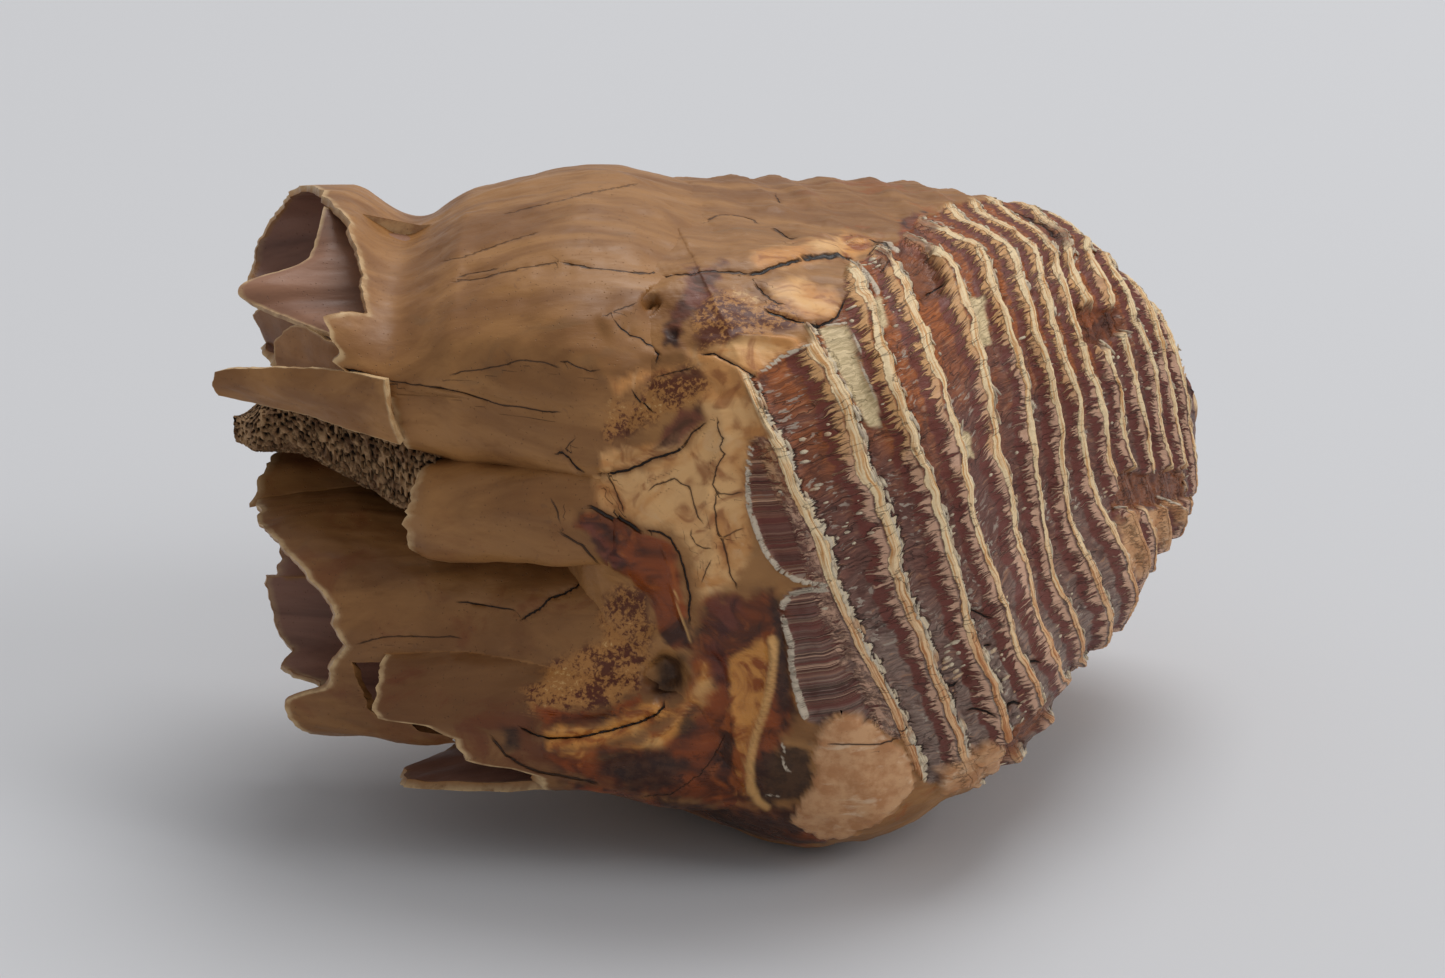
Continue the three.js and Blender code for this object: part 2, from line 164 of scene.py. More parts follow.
class Lumps:
    """Smooth random lumps and cells on points in mm, the same on every run."""

    def __init__(self, seed: int) -> None:
        """Draws the tables for one seed."""
        rng = np.random.default_rng(seed)
        self.slopes = unit(rng.normal(size=(256, 3)))
        self.order = rng.permutation(256)
        self.shift = rng.random((256, 3))

    def _pick(self, x: Array, y: Array, z: Array) -> Array:
        """A table row for each lattice point."""
        first = self.order[x & 255]
        return self.order[(self.order[(first + y) & 255] + z) & 255]

    def at(self, points: Array, size: float) -> Array:
        """Lumps of about one size, between -1 and 1.

        Args:
            points: points in mm.
            size: how wide a lump is in mm.

        Returns:
            A number at each point.
        """
        p = points / size
        cell = np.floor(p).astype(np.int64)
        f = p - cell
        u = f ** 3 * (f * (f * 6 - 15) + 10)
        total = np.zeros(p.shape[:-1])
        for dx in (0, 1):
            wx = u[..., 0] if dx else 1 - u[..., 0]
            for dy in (0, 1):
                wy = u[..., 1] if dy else 1 - u[..., 1]
                for dz in (0, 1):
                    wz = u[..., 2] if dz else 1 - u[..., 2]
                    slope = self.slopes[self._pick(cell[..., 0] + dx, cell[..., 1] + dy,
                                                   cell[..., 2] + dz)]
                    total += wx * wy * wz * ((f - (dx, dy, dz)) * slope).sum(-1)
        return total * 1.6

    def layered(self, points: Array, size: float, layers: int = 3) -> Array:
        """Lumps of several sizes, each half as large and half as high as the last.

        Args:
            points: points in mm.
            size: the widest lumps in mm.
            layers: how many sizes.

        Returns:
            A number at each point.
        """
        total = np.zeros(points.shape[:-1])
        for layer in range(layers):
            total += self.at(points + 17.3 * layer, size * 0.5 ** layer) * 0.5 ** layer
        return total

    def cells(self, points: Array, size: float) -> tuple[Array, Array]:
        """Distances to the nearest two cell middles, in cell sizes.

        Args:
            points: points in mm.
            size: how wide a cell is in mm.

        Returns:
            The nearest and the second distance.
        """
        p = points / size
        cell = np.floor(p).astype(np.int64)
        near = np.full(p.shape[:-1], 9.0)
        second = near.copy()
        for dx in (-1, 0, 1):
            for dy in (-1, 0, 1):
                for dz in (-1, 0, 1):
                    at = cell + (dx, dy, dz)
                    middle = at + self.shift[self._pick(at[..., 0], at[..., 1], at[..., 2])]
                    gap = np.sqrt(((p - middle) ** 2).sum(-1))
                    second = np.minimum(second, np.maximum(near, gap))
                    near = np.minimum(near, gap)
        return near, second


LUMPS = Lumps(41)


@dataclass(frozen=True)
class PhotoView:
    """The camera: where it stands in mm in the working frame, and its lens."""

    elevation: float = 20.0
    distance: float = 650.0
    target: tuple[float, float, float] = (0.0, 0.0, 53.0)
    lens: float = 90.0
    sensor: float = 36.0
    width: float = 1445.0
    height: float = 978.0

    def pixels(self, points: Array) -> tuple[Array, Array]:
        """Where points in mm lie in the picture, across and down.

        Args:
            points: points in mm.

        Returns:
            Across and down, in the picture's pixels.
        """
        ce, se = math.cos(math.radians(self.elevation)), math.sin(math.radians(self.elevation))
        d = points - np.array(self.target)
        depth = self.distance + d[..., 1] * ce - d[..., 2] * se
        focal = self.lens / self.sensor * self.width
        across = self.width / 2 + focal * d[..., 0] / depth
        down = self.height / 2 - focal * (d[..., 1] * se + d[..., 2] * ce) / depth
        return across, down

    def facing(self, points: Array, out: Array) -> Array:
        """The cosine between a surface's outward direction and the way to the camera."""
        e = math.radians(self.elevation)
        place = np.array(self.target) + np.array([0, -math.cos(e), math.sin(e)]) * self.distance
        return (unit(place - points) * out).sum(-1)

    def build(self) -> None:
        """Makes the camera and sets it as the scene's."""
        data = bpy.data.cameras.new("camera")
        data.lens = self.lens
        data.sensor_width = self.sensor
        data.clip_start = 0.01
        camera = placed("camera", data)
        e = math.radians(self.elevation)
        target = Vector((np.array(self.target) - MIDDLE) * MM)
        back = Vector((0.0, -math.cos(e), math.sin(e))) * self.distance * MM
        camera.location = target + back
        camera.rotation_euler = (math.pi / 2 - e, 0.0, 0.0)
        bpy.context.scene.camera = camera


VIEW = PhotoView()


def close_to(points: Array, reach: float, x: Array, y: Array) -> Array:
    """Which places of the view lie in the box round some points, grown by a reach."""
    low, high = points.min(0) - reach, points.max(0) + reach
    return (x > low[0]) & (x < high[0]) & (y > low[1]) & (y < high[1])


@dataclass(frozen=True)
class Area:
    """A patch of the near side, by its outline in the view."""

    outline: tuple[float, ...]
    soft: float = 3.0
    ragged: float = 1.0

    def mask(self, x: Array, y: Array, wobble: Array) -> Array:
        """1 inside and 0 outside, with a soft and ragged edge.

        Args:
            x: across in the view.
            y: down in the view.
            wobble: lumps that make the edge ragged.

        Returns:
            A number from 0 to 1 at each place.
        """
        points = np.array(self.outline, float).reshape(-1, 2)
        reach = self.soft + 8.0 * self.ragged + 2.0
        near = close_to(points, reach, x, y)
        out = np.zeros(x.shape)
        px, py = x[near], y[near]
        best = np.full(px.shape, 1e9)
        inside = np.zeros(px.shape, bool)
        for (x0, y0), (x1, y1) in zip(points, np.roll(points, -1, axis=0)):
            dx, dy = x1 - x0, y1 - y0
            t = np.clip(((px - x0) * dx + (py - y0) * dy) / (dx * dx + dy * dy + 1e-9), 0, 1)
            best = np.minimum(best, np.hypot(px - x0 - t * dx, py - y0 - t * dy))
            if y0 != y1:
                inside ^= ((y0 > py) != (y1 > py)) & (px < dx * (py - y0) / dy + x0)
        gap = np.where(inside, -best, best) + wobble[near] * 4.0 * self.ragged
        out[near] = 1.0 - smoothstep(gap, -self.soft, self.soft)
        return out


@dataclass(frozen=True)
class Stroke:
    """A line on the near side: a crack, a fold or a pale rim, by its points in the view."""

    points: tuple[float, ...]
    width: float = 1.2
    weight: float = 1.0

    def field(self, x: Array, y: Array) -> tuple[Array, Array]:
        """The signed distance in widths, and how much of the line is left near its ends.

        Args:
            x: across in the view.
            y: down in the view.

        Returns:
            The distance, positive on the line's left, and a share from 0 to 1.
        """
        points = np.array(self.points, float).reshape(-1, 2)
        best = np.full(x.shape, 1e6)
        signed = np.full(x.shape, 14.0)
        left = np.zeros(x.shape)
        reach = 6.0 * self.width + 12.0
        near = close_to(points, reach, x, y)
        px, py = x[near], y[near]
        b, s, f = best[near], signed[near], left[near]
        lengths = np.hypot(*(points[1:] - points[:-1]).T)
        ahead = np.concatenate([[0.0], np.cumsum(lengths)])
        fade = min(8.0, ahead[-1] / 4)
        for i, ((x0, y0), (x1, y1)) in enumerate(zip(points[:-1], points[1:])):
            dx, dy = (x1 - x0) / lengths[i], (y1 - y0) / lengths[i]
            t = np.clip((px - x0) * dx + (py - y0) * dy, 0.0, lengths[i])
            gap = np.hypot(px - x0 - t * dx, py - y0 - t * dy)
            side = np.sign((px - x0) * dy - (py - y0) * dx)
            run = ahead[i] + t
            ends = smoothstep(run, 0.0, fade) * smoothstep(ahead[-1] - run, 0.0, fade)
            closer = gap < b
            b = np.where(closer, gap, b)
            s = np.where(closer, side * gap / self.width, s)
            f = np.where(closer, ends, f)
        signed[near], left[near] = s, f
        return signed, left


def strokes(lines: tuple[Stroke, ...], x: Array, y: Array) -> tuple[Array, Array]:
    """The nearest of several lines at each point.

    Args:
        lines: the lines.
        x: across in the view.
        y: down in the view.

    Returns:
        The signed distance in widths, and the line's weight, 0 where none is near.
    """
    signed = np.full(x.shape, NO_CRACK)
    weight = np.zeros(x.shape)
    for line in lines:
        at, left = line.field(x, y)
        reach = max(4.5, 8.0 / line.width)
        near = left * line.weight * (1.0 - smoothstep(np.abs(at), 0.7 * reach, reach))
        better = np.abs(at) < np.abs(signed)
        signed = np.where(better, at, signed)
        weight = np.where(better, near, weight)
    return np.clip(signed, -NO_CRACK, NO_CRACK), weight


def ridge_of(lines: tuple[Stroke, ...], x: Array, y: Array) -> Array:
    """A rounded ridge of height 1 along each line.

    Args:
        lines: the lines.
        x: across in the view.
        y: down in the view.

    Returns:
        A height from 0 to 1.
    """
    total = np.zeros(x.shape)
    for line in lines:
        at, left = line.field(x, y)
        total = np.maximum(total, left * line.weight * np.exp(-np.minimum(at * at, 30.0)))
    return total


class Mark(Enum):
    """The patches of the near side that have a look of their own."""

    FACE = "face"
    RIM = "rim"
    AMBER = "amber"
    GOLDEN = "golden"
    CREAM = "cream"
    PURPLE = "purple"
    MOTTLE = "mottle"
    PATCH = "patch"
    DARK_STAIN_AND_SHADE = "dark"
    BROKEN = "broken"
    FLUTED = "fluted"


MARKS: dict[Mark, tuple[Area, ...]] = {
    Mark.FACE: (
        Area((757, 373, 770, 362, 783, 352, 800, 347, 813, 343, 805, 322, 820, 318, 838, 314, 847,
              293, 848, 262, 858, 254, 868, 250, 880, 238, 892, 240, 905, 232, 922, 210, 940, 204,
              962, 197, 1000, 190, 1060, 200, 1130, 250, 1215, 360, 1230, 450, 1215, 540, 1170,
              610, 1100, 670, 1090, 690, 1050, 750, 985, 790, 928, 788, 920, 775, 905, 742, 890,
              738, 875, 725, 860, 716, 835, 718, 820, 730, 806, 726, 800, 710, 795, 695, 790, 680,
              787, 660, 788, 645, 782, 630, 778, 615, 780, 605, 790, 595, 800, 590, 836, 588, 800,
              584, 775, 570, 765, 555, 757, 540, 752, 525, 747, 510, 745, 490, 746, 470, 748, 450,
              751, 440, 760, 437, 773, 440, 765, 425, 755, 405, 745, 385, 738, 368), 1.2, 0.5),),
    Mark.AMBER: (
        Area((578, 512, 600, 510, 620, 525, 640, 537, 660, 537, 672, 552, 676, 580, 684, 605, 690,
              650, 672, 652, 660, 640, 650, 625, 640, 600, 625, 585, 614, 572, 604, 552, 590, 530,
              575, 530), 3.0),
        Area((690, 640, 705, 600, 720, 600, 770, 596, 782, 620, 786, 690, 800, 715, 782, 735, 760,
              800, 745, 812, 640, 795, 560, 776, 545, 745, 640, 742, 668, 724, 690, 690), 8.0,
             2.0),
        Area((535, 705, 560, 712, 600, 712, 640, 695, 640, 705, 600, 722, 545, 726), 3.0),
        Area((560, 776, 640, 795, 745, 812, 800, 812, 840, 842, 800, 860, 720, 850, 640, 825, 580,
              800), 8.0, 2.0),
        Area((898, 246, 903, 212, 925, 205, 940, 222, 933, 245, 905, 250), 3.0),
        Area((868, 262, 880, 240, 890, 240, 893, 262, 880, 268), 2.5),
        Area((1080, 303, 1128, 305, 1130, 325, 1108, 347, 1085, 338), 4.0),
        Area((1038, 212, 1070, 222, 1075, 240, 1050, 240), 5.0)),
    Mark.GOLDEN: (
        Area((727, 665, 740, 655, 765, 640, 771, 650, 768, 672, 765, 700, 755, 735, 748, 762, 746,
              795, 736, 795, 733, 740, 727, 700), 4.0),
        Area((545, 726, 600, 724, 640, 706, 664, 700, 668, 712, 640, 730, 600, 744, 550, 748),
             4.0),
        Area((640, 742, 668, 722, 690, 690, 702, 668, 712, 690, 690, 725, 660, 748, 600, 758, 560,
              752), 6.0),
        Area((845, 225, 875, 232, 870, 245, 845, 248), 5.0)),
    Mark.CREAM: (
        Area((690, 350, 730, 335, 800, 333, 800, 346, 782, 352, 765, 368, 742, 372, 752, 410, 770,
              440, 748, 440, 744, 470, 744, 520, 752, 550, 730, 590, 700, 600, 690, 560, 672, 530,
              640, 525, 600, 508, 596, 478, 640, 470, 690, 445, 704, 420, 690, 385), 7.0),
        Area((770, 280, 800, 272, 835, 285, 845, 300, 835, 312, 805, 316, 775, 306), 6.0),
        Area((750, 250, 850, 228, 870, 240, 850, 250, 790, 262, 755, 266), 6.0),
        Area((598, 450, 640, 448, 690, 430, 680, 445, 640, 464, 600, 472), 3.0),
        Area((610, 380, 650, 368, 690, 362, 690, 372, 650, 380, 618, 392), 4.0)),
    Mark.PURPLE: (
        Area((650, 455, 655, 438, 680, 410, 697, 405, 704, 420, 690, 432, 680, 445), 4.0),
        Area((690, 262, 722, 262, 715, 280, 695, 300, 680, 325, 676, 345, 664, 340, 668, 318, 678,
              295), 6.0, 2.0),
        Area((578, 520, 592, 522, 604, 540, 622, 562, 614, 570, 600, 555), 2.0),
        Area((710, 600, 735, 600, 740, 630, 725, 645, 708, 630), 7.0, 2.0),
        Area((905, 252, 933, 246, 948, 292, 930, 300, 915, 275), 3.0),
        Area((1118, 478, 1150, 472, 1188, 468, 1195, 500, 1165, 506, 1124, 508), 4.0),
        Area((705, 650, 712, 640, 722, 655, 725, 690, 712, 690), 4.0)),
    Mark.MOTTLE: (
        Area((525, 692, 545, 670, 570, 655, 600, 640, 602, 600, 615, 590, 640, 600, 650, 640, 647,
              665, 640, 685, 622, 702, 600, 712, 560, 712, 532, 708), 7.0, 2.0),
        Area((700, 290, 740, 280, 800, 305, 800, 325, 740, 335, 700, 345, 690, 320), 7.0, 2.0),
        Area((650, 375, 700, 358, 705, 390, 660, 420, 620, 440, 600, 440, 610, 410, 640, 400), 6.0,
             2.0)),
    Mark.PATCH: (
        Area((808, 752, 815, 745, 822, 728, 835, 719, 860, 717, 875, 726, 890, 741, 903, 750, 912,
              765, 914, 786, 905, 805, 880, 826, 850, 840, 815, 842, 790, 828, 800, 802, 812, 790,
              815, 770), 1.6),
        Area((940, 775, 965, 760, 985, 745, 1000, 742, 1008, 755, 1000, 775, 975, 790, 945, 800),
             4.0),
        Area((1125, 515, 1140, 508, 1152, 575, 1145, 582, 1130, 550), 2.5),
        Area((1152, 512, 1166, 506, 1180, 548, 1172, 556, 1158, 540), 2.5),
        Area((1175, 502, 1186, 498, 1194, 530, 1186, 536), 2.5)),
    # partly a black-brown stain left of the smooth patch, partly painted shade over the pits and
    # along the lower front
    Mark.DARK_STAIN_AND_SHADE: (
        Area((750, 760, 782, 752, 812, 752, 812, 790, 798, 806, 765, 808, 750, 790), 4.0, 2.0),
        Area((597, 750, 650, 745, 690, 760, 680, 790, 640, 795, 600, 782), 9.0, 2.0),
        Area((660, 800, 740, 812, 800, 815, 830, 842, 760, 848, 690, 830), 9.0, 2.0),
        Area((675, 720, 692, 705, 700, 730, 680, 745), 7.0, 2.0),
        Area((664, 325, 676, 325, 676, 342, 664, 342), 4.0),
        Area((770, 600, 782, 600, 790, 690, 782, 735, 772, 700), 5.0),
        Area((655, 662, 685, 655, 680, 690, 665, 700, 650, 690), 7.0),
        Area((500, 725, 518, 728, 520, 750, 505, 748), 5.0)),
    Mark.BROKEN: (
        Area((1078, 300, 1100, 306, 1128, 305, 1131, 325, 1108, 347, 1085, 338), 3.0),
        Area((1118, 478, 1132, 470, 1150, 474, 1188, 464, 1197, 500, 1165, 506, 1124, 508), 3.0),
        Area((905, 252, 933, 246, 948, 288, 930, 296, 915, 275), 4.0),
        Area((975, 765, 1010, 745, 1060, 700, 1085, 690, 1040, 760, 990, 800), 4.0)),
    Mark.FLUTED: (
        Area((820, 322, 848, 318, 858, 345, 866, 372, 880, 400, 884, 425, 872, 425, 850, 385, 835,
              355), 2.0, 0.4),
        Area((872, 292, 886, 290, 892, 318, 880, 325), 1.8, 0.4),
        Area((972, 290, 988, 292, 998, 340, 985, 345), 1.8, 0.4),
        Area((964, 430, 978, 430, 982, 456, 972, 456), 1.8, 0.4)),
}

RIMS = (
    Stroke((750, 441, 746, 470, 745, 490, 747, 510, 752, 525, 757, 540, 765, 556, 777, 572, 795,
            583, 815, 586, 834, 586), 2.2),
    Stroke((834, 591, 810, 593, 792, 597, 782, 606, 780, 618), 3.2),
    Stroke((780, 616, 784, 632, 790, 648, 789, 664, 792, 682, 797, 698, 802, 714, 808, 726), 3.6),
    Stroke((783, 742, 781, 752, 784, 768, 792, 780), 2.4, 0.8),
    Stroke((756, 800, 770, 798, 785, 802), 2.0, 0.6),
    Stroke((757, 374, 770, 364, 783, 353, 800, 348, 815, 343), 2.0, 0.9),
    Stroke((757, 374, 762, 386, 760, 397, 768, 410, 776, 428), 1.8, 0.9),
    Stroke((852, 258, 862, 260, 868, 266, 878, 280, 884, 292), 3.0),
    Stroke((878, 236, 893, 240, 905, 245), 2.4),
    Stroke((928, 212, 944, 216, 950, 230), 3.0),
    Stroke((850, 249, 835, 250), 2.5),
    Stroke((822, 320, 848, 317, 860, 345, 868, 372, 882, 405), 1.6, 0.8),
    Stroke((1120, 505, 1132, 506, 1142, 516), 1.6),
    Stroke((1165, 494, 1178, 500, 1186, 518), 1.6),
)

EDGES = (
    Stroke((766, 634, 773, 646, 772, 664, 769, 690, 762, 716, 753, 742, 749, 765, 750, 790, 757,
            806, 771, 818), 5.5),
    Stroke((672, 586, 677, 608, 684, 630, 690, 650), 2.0, 0.9),
    Stroke((548, 727, 580, 728, 610, 723, 640, 712, 660, 703), 2.6, 0.5),
    Stroke((700, 660, 704, 680, 692, 704, 672, 724, 650, 738), 2.6, 0.6),
    Stroke((740, 690, 742, 720, 740, 750, 742, 780), 2.2, 0.5),
)

CRACKS = (
    Stroke((560, 262, 590, 267, 620, 270, 650, 273.5, 665, 271, 690, 271.5, 710, 266, 740, 265,
            752, 269), 1.0, 0.75),
    Stroke((745, 268, 765, 266, 780, 261, 790, 258, 803, 253, 812, 250), 1.7),
    Stroke((800, 254, 812, 251, 830, 251, 850, 249, 856, 252), 3.0),
    Stroke((754, 276, 765, 285, 775, 295, 787, 300), 0.8, 0.8),
    Stroke((764, 302, 776, 309, 790, 314, 800, 318, 808, 320, 818, 320, 830, 316, 838, 312, 843,
            303, 847, 292), 1.3),
    Stroke((612, 322, 625, 332, 640, 338, 650, 345, 657, 352, 654, 363), 0.9),
    Stroke((696, 351, 712, 350, 720, 355, 728, 359, 736, 364, 744, 368, 752, 371, 760, 375), 1.0),
    Stroke((600, 320, 620, 312, 637, 306), 0.7, 0.6),
    Stroke((631, 388, 638, 400, 646, 409, 653, 413), 0.9),
    Stroke((651, 376, 665, 372, 680, 368, 692, 364), 0.8, 0.6),
    Stroke((556, 362, 567, 361, 575, 366, 590, 371, 600, 370), 0.8, 0.7),
    Stroke((596, 475, 610, 474.5, 625, 472, 638, 466, 650, 460, 665, 456, 676, 452, 683, 445),
           1.5),
    Stroke((678, 451, 684, 443, 690, 433, 697, 427, 704, 422), 0.9, 0.8),
    Stroke((715, 415, 715, 430, 722, 440, 717, 448, 723, 455, 715, 468, 712, 485, 715, 495, 713,
            510, 715, 535, 720, 541, 725, 560, 727, 575, 736, 592), 0.8, 0.75),
    Stroke((713, 495, 727, 496, 742, 494), 0.7, 0.6),
    Stroke((720, 541, 730, 535, 742, 530), 0.7, 0.5),
    Stroke((585, 506, 595, 508, 600, 512, 610, 518, 617, 522, 625, 527, 633, 533, 641, 536), 2.6),
    Stroke((634, 534, 641, 535, 650, 533, 660, 535, 668, 543, 675, 555, 680, 570, 685, 585, 688,
            600, 687, 612, 688, 628), 1.2, 0.95),
    Stroke((645, 495, 652, 487, 660, 485, 668, 482, 672, 480, 680, 486, 687, 488, 692, 505, 697,
            520, 702, 526), 0.8, 0.7),
    Stroke((600, 475, 610, 488, 617, 505, 622, 516), 0.8, 0.7),
    Stroke((690, 530, 688, 540, 693, 548, 700, 551, 712, 550), 0.7, 0.6),
    Stroke((711, 560, 705, 570, 700, 586), 0.7, 0.6),
    Stroke((518, 726, 530, 733, 550, 738, 580, 737, 610, 731, 640, 722, 655, 715, 664, 706, 664,
            699), 1.3),
    Stroke((490, 735, 505, 755, 520, 765, 535, 772, 560, 776, 600, 785), 1.6, 0.8),
    Stroke((640, 797, 670, 795, 700, 775, 715, 755, 723, 738), 0.7, 0.5),
    Stroke((826, 745, 860, 746, 880, 745, 902, 740), 0.8, 0.8),
    Stroke((896, 731, 904, 733, 912, 726, 920, 728), 0.9, 0.8),
    Stroke((968, 614, 980, 611, 1000, 620), 1.1),
    Stroke((990, 648, 998, 645), 1.2),
    Stroke((1012, 712, 1020, 706, 1030, 708), 1.8),
    Stroke((968, 714, 985, 713, 1002, 720), 1.3),
    Stroke((1033, 665, 1040, 660, 1048, 662), 1.2),
    Stroke((948, 688, 956, 690, 964, 684), 1.1),
    Stroke((1000, 195, 1020, 203, 1045, 215, 1062, 231), 1.0, 0.8),
    Stroke((848, 227, 865, 231, 882, 237, 895, 243), 1.1, 0.8),
    Stroke((868, 250, 876, 243, 880, 236), 0.8, 0.7),
    Stroke((700, 215, 720, 209, 740, 207, 752, 210, 760, 218), 0.8, 0.6),
    Stroke((776, 185, 779, 193, 782, 198), 0.8, 0.7),
    Stroke((770, 222, 782, 225, 792, 232, 798, 232), 0.8, 0.7),
    Stroke((882, 266, 887, 262, 890, 257), 0.8, 0.7),
    Stroke((930, 285, 940, 279, 952, 278), 1.2, 0.9),
)

ROOT_CRACKS = (
    Stroke((385, 380, 410, 384, 440, 388, 455, 391, 480, 398, 500, 405, 520, 407, 545, 412, 562,
            412), 0.8, 0.8),
    Stroke((448, 376, 460, 372, 478, 370, 500, 366, 520, 360, 545, 362, 560, 368), 0.8, 0.6),
    Stroke((552, 454, 562, 453, 570, 460, 578, 471, 586, 473), 1.1),
    Stroke((562, 453, 568, 446, 575, 438), 0.7, 0.6),
    Stroke((550, 498, 556, 508, 560, 524), 0.9, 0.7),
    Stroke((558, 532, 572, 540, 585, 548, 600, 566), 1.2, 0.8),
    Stroke((519, 621, 528, 615, 540, 608, 550, 597, 562, 594, 575, 587, 590, 575, 603, 569, 612,
            573), 1.2),
    Stroke((455, 602, 470, 603, 485, 605, 500, 608, 512, 609, 516, 613), 0.9, 0.9),
    Stroke((355, 645, 380, 638, 400, 636, 430, 637, 450, 636, 463, 639), 0.8, 0.6),
    Stroke((500, 215, 540, 205, 600, 190, 640, 183), 0.7, 0.4),
    Stroke((440, 262, 470, 255, 510, 240, 540, 232), 0.7, 0.4),
    Stroke((590, 267, 560, 262, 520, 268, 480, 278, 450, 282), 0.8, 0.5),
    Stroke((455, 278, 475, 272, 500, 268), 0.8, 0.5),
    Stroke((340, 368, 360, 372, 375, 377, 388, 386), 1.6, 1.0),
)

FOLDS = (
    (Stroke((733, 334, 760, 334, 785, 337, 800, 342), 4.0), 0.9),
    (Stroke((733, 362, 744, 385, 754, 405, 764, 425, 775, 441), 3.4), 0.8),
    (Stroke((765, 636, 770, 648, 772, 662, 768, 680, 764, 698, 756, 733, 747, 757, 745, 780, 750,
             803), 3.6), 1.0),
    (Stroke((729, 668, 729, 700, 735, 740, 738, 790), 4.5), 0.7),
    (Stroke((660, 545, 668, 565, 672, 590, 678, 612, 686, 635, 689, 652), 3.2), 0.7),
    (Stroke((530, 728, 560, 729, 600, 722, 635, 710, 660, 702), 7.0), 1.1),
    (Stroke((540, 748, 600, 750, 645, 738, 672, 718, 692, 690, 700, 668), 9.0), 1.0),
    (Stroke((596, 466, 630, 462, 660, 448, 690, 430), 6.0), 0.7),
    (Stroke((718, 400, 722, 450, 706, 490, 712, 540, 706, 590), 7.0), 0.6),
    (Stroke((575, 515, 590, 536, 604, 556, 616, 574), 4.0), 0.8),
    (Stroke((600, 330, 640, 300, 700, 262, 760, 250, 845, 240), 12.0), 0.9),
    (Stroke((598, 380, 640, 360, 690, 350), 8.0), 0.7),
)

PITS = (
    (Stroke((646, 296, 655, 305), 6.5), 4.2),
    (Stroke((672, 322, 671, 336), 5.0), 0.9),
    (Stroke((650, 662, 666, 676, 668, 694), 13.0), 2.4),
    (Stroke((705, 655, 716, 670, 722, 690), 6.0), 0.9),
    (Stroke((777, 610, 782, 660, 786, 700, 778, 740), 5.0), 0.8),
    (Stroke((700, 375, 712, 385, 722, 400), 8.0), 0.6),
    (Stroke((735, 380, 748, 410, 757, 430), 3.5), 0.4),
    (Stroke((600, 600, 620, 590, 640, 610, 650, 640), 16.0), 1.2),
    (Stroke((545, 716, 580, 712, 615, 708), 7.0), 0.9),
    (Stroke((1143, 314, 1143, 322), 3.5), 1.6),
    (Stroke((970, 668, 970, 690), 4.0), 0.8),
    (Stroke((975, 692, 978, 696), 3.0), 0.8),
)


class NearSide:
    """The marks of the near side, read at points of any piece that shows there."""

    def read(self, points: Array, facing: Array,
             cracks: tuple[Stroke, ...]) -> tuple[dict[str, Array], Array]:
        """The marks and the height of their relief.

        Args:
            points: points in mm.
            facing: the cosine between the surface's outward direction and the camera.
            cracks: the cracks of the piece.

        Returns:
            A number from 0 to 1 for each mark, and heights in mm.
        """
        x, y = VIEW.pixels(points)
        wobble = LUMPS.layered(points, 2.4, 3)
        fine = LUMPS.at(points, 0.9)
        seen = smoothstep(facing, 0.02, 0.22)
        clear = smoothstep(facing, 0.12, 0.4)
        marks = {}
        for mark, areas in MARKS.items():
            mask = np.zeros(x.shape)
            for area in areas:
                mask = np.maximum(mask, area.mask(x, y, wobble))
            turned = smoothstep(facing, -0.3, -0.05) if mark is Mark.FACE else seen
            marks[mark.value] = mask * turned
        marks[Mark.RIM.value] = ridge_of(RIMS, x + fine, y + fine) * clear
        shaken = (x + 1.1 * LUMPS.at(points + 31.0, 1.2), y + 1.1 * LUMPS.at(points + 57.0, 1.2))
        side, weight = strokes(cracks, *shaken)
        marks["crack_side"], marks["crack_near"] = side, weight * seen
        marks["line"] = ridge_of(EDGES, x, y) * clear
        height = 0.75 * marks[Mark.RIM.value]
        for fold, amount in FOLDS:
            height += amount * clear * ridge_of((fold,), x, y)
        for pit, depth in PITS:
            height -= depth * clear * ridge_of((pit,), x, y)
        height -= 0.5 * np.exp(-np.minimum((side / 1.1) ** 2, 30.0)) * marks["crack_near"]
        return marks, height


def to_frame(points: Array, held: bool = True) -> Array:
    """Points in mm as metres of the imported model's frame.

    Args:
        points: points in mm in the working frame.
        held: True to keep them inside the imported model's box.

    Returns:
        The numbers of the points, one after another.
    """
    place = (points - MIDDLE) * MM
    if held:
        low, high = (np.array(corner) for corner in CAD_BOX)
        place = np.clip(place, low + MARGIN, high - MARGIN)
    return place.astype(np.float32).ravel()


def carry(mesh: bpy.types.Mesh, values: dict[str, Array]) -> None:
    """Gives a mesh a number or a direction at each of its points, under each name."""
    for key, numbers in values.items():
        if key in mesh.attributes:
            mesh.attributes.remove(mesh.attributes[key])
        kind, slot = (("FLOAT_VECTOR", "vector") if numbers.shape[1:] == (3,)
                      else ("FLOAT", "value"))
        layer = mesh.attributes.new(key, kind, "POINT")
        layer.data.foreach_set(slot, numbers.astype(np.float32).ravel())


def placed(name: str, data: bpy.types.ID) -> Piece:
    """A new object of a mesh, a light or a camera, linked to the scene."""
    made = bpy.data.objects.new(name, data)
    bpy.context.scene.collection.objects.link(made)
    return made


def baked(piece: Piece, change: bpy.types.Modifier) -> None:
    """Turns the result of a piece's modifier into its plain mesh."""
    graph = bpy.context.evaluated_depsgraph_get()
    result = bpy.data.meshes.new_from_object(piece.evaluated_get(graph))
    piece.modifiers.remove(change)
    old, piece.data = piece.data, result
    bpy.data.meshes.remove(old)


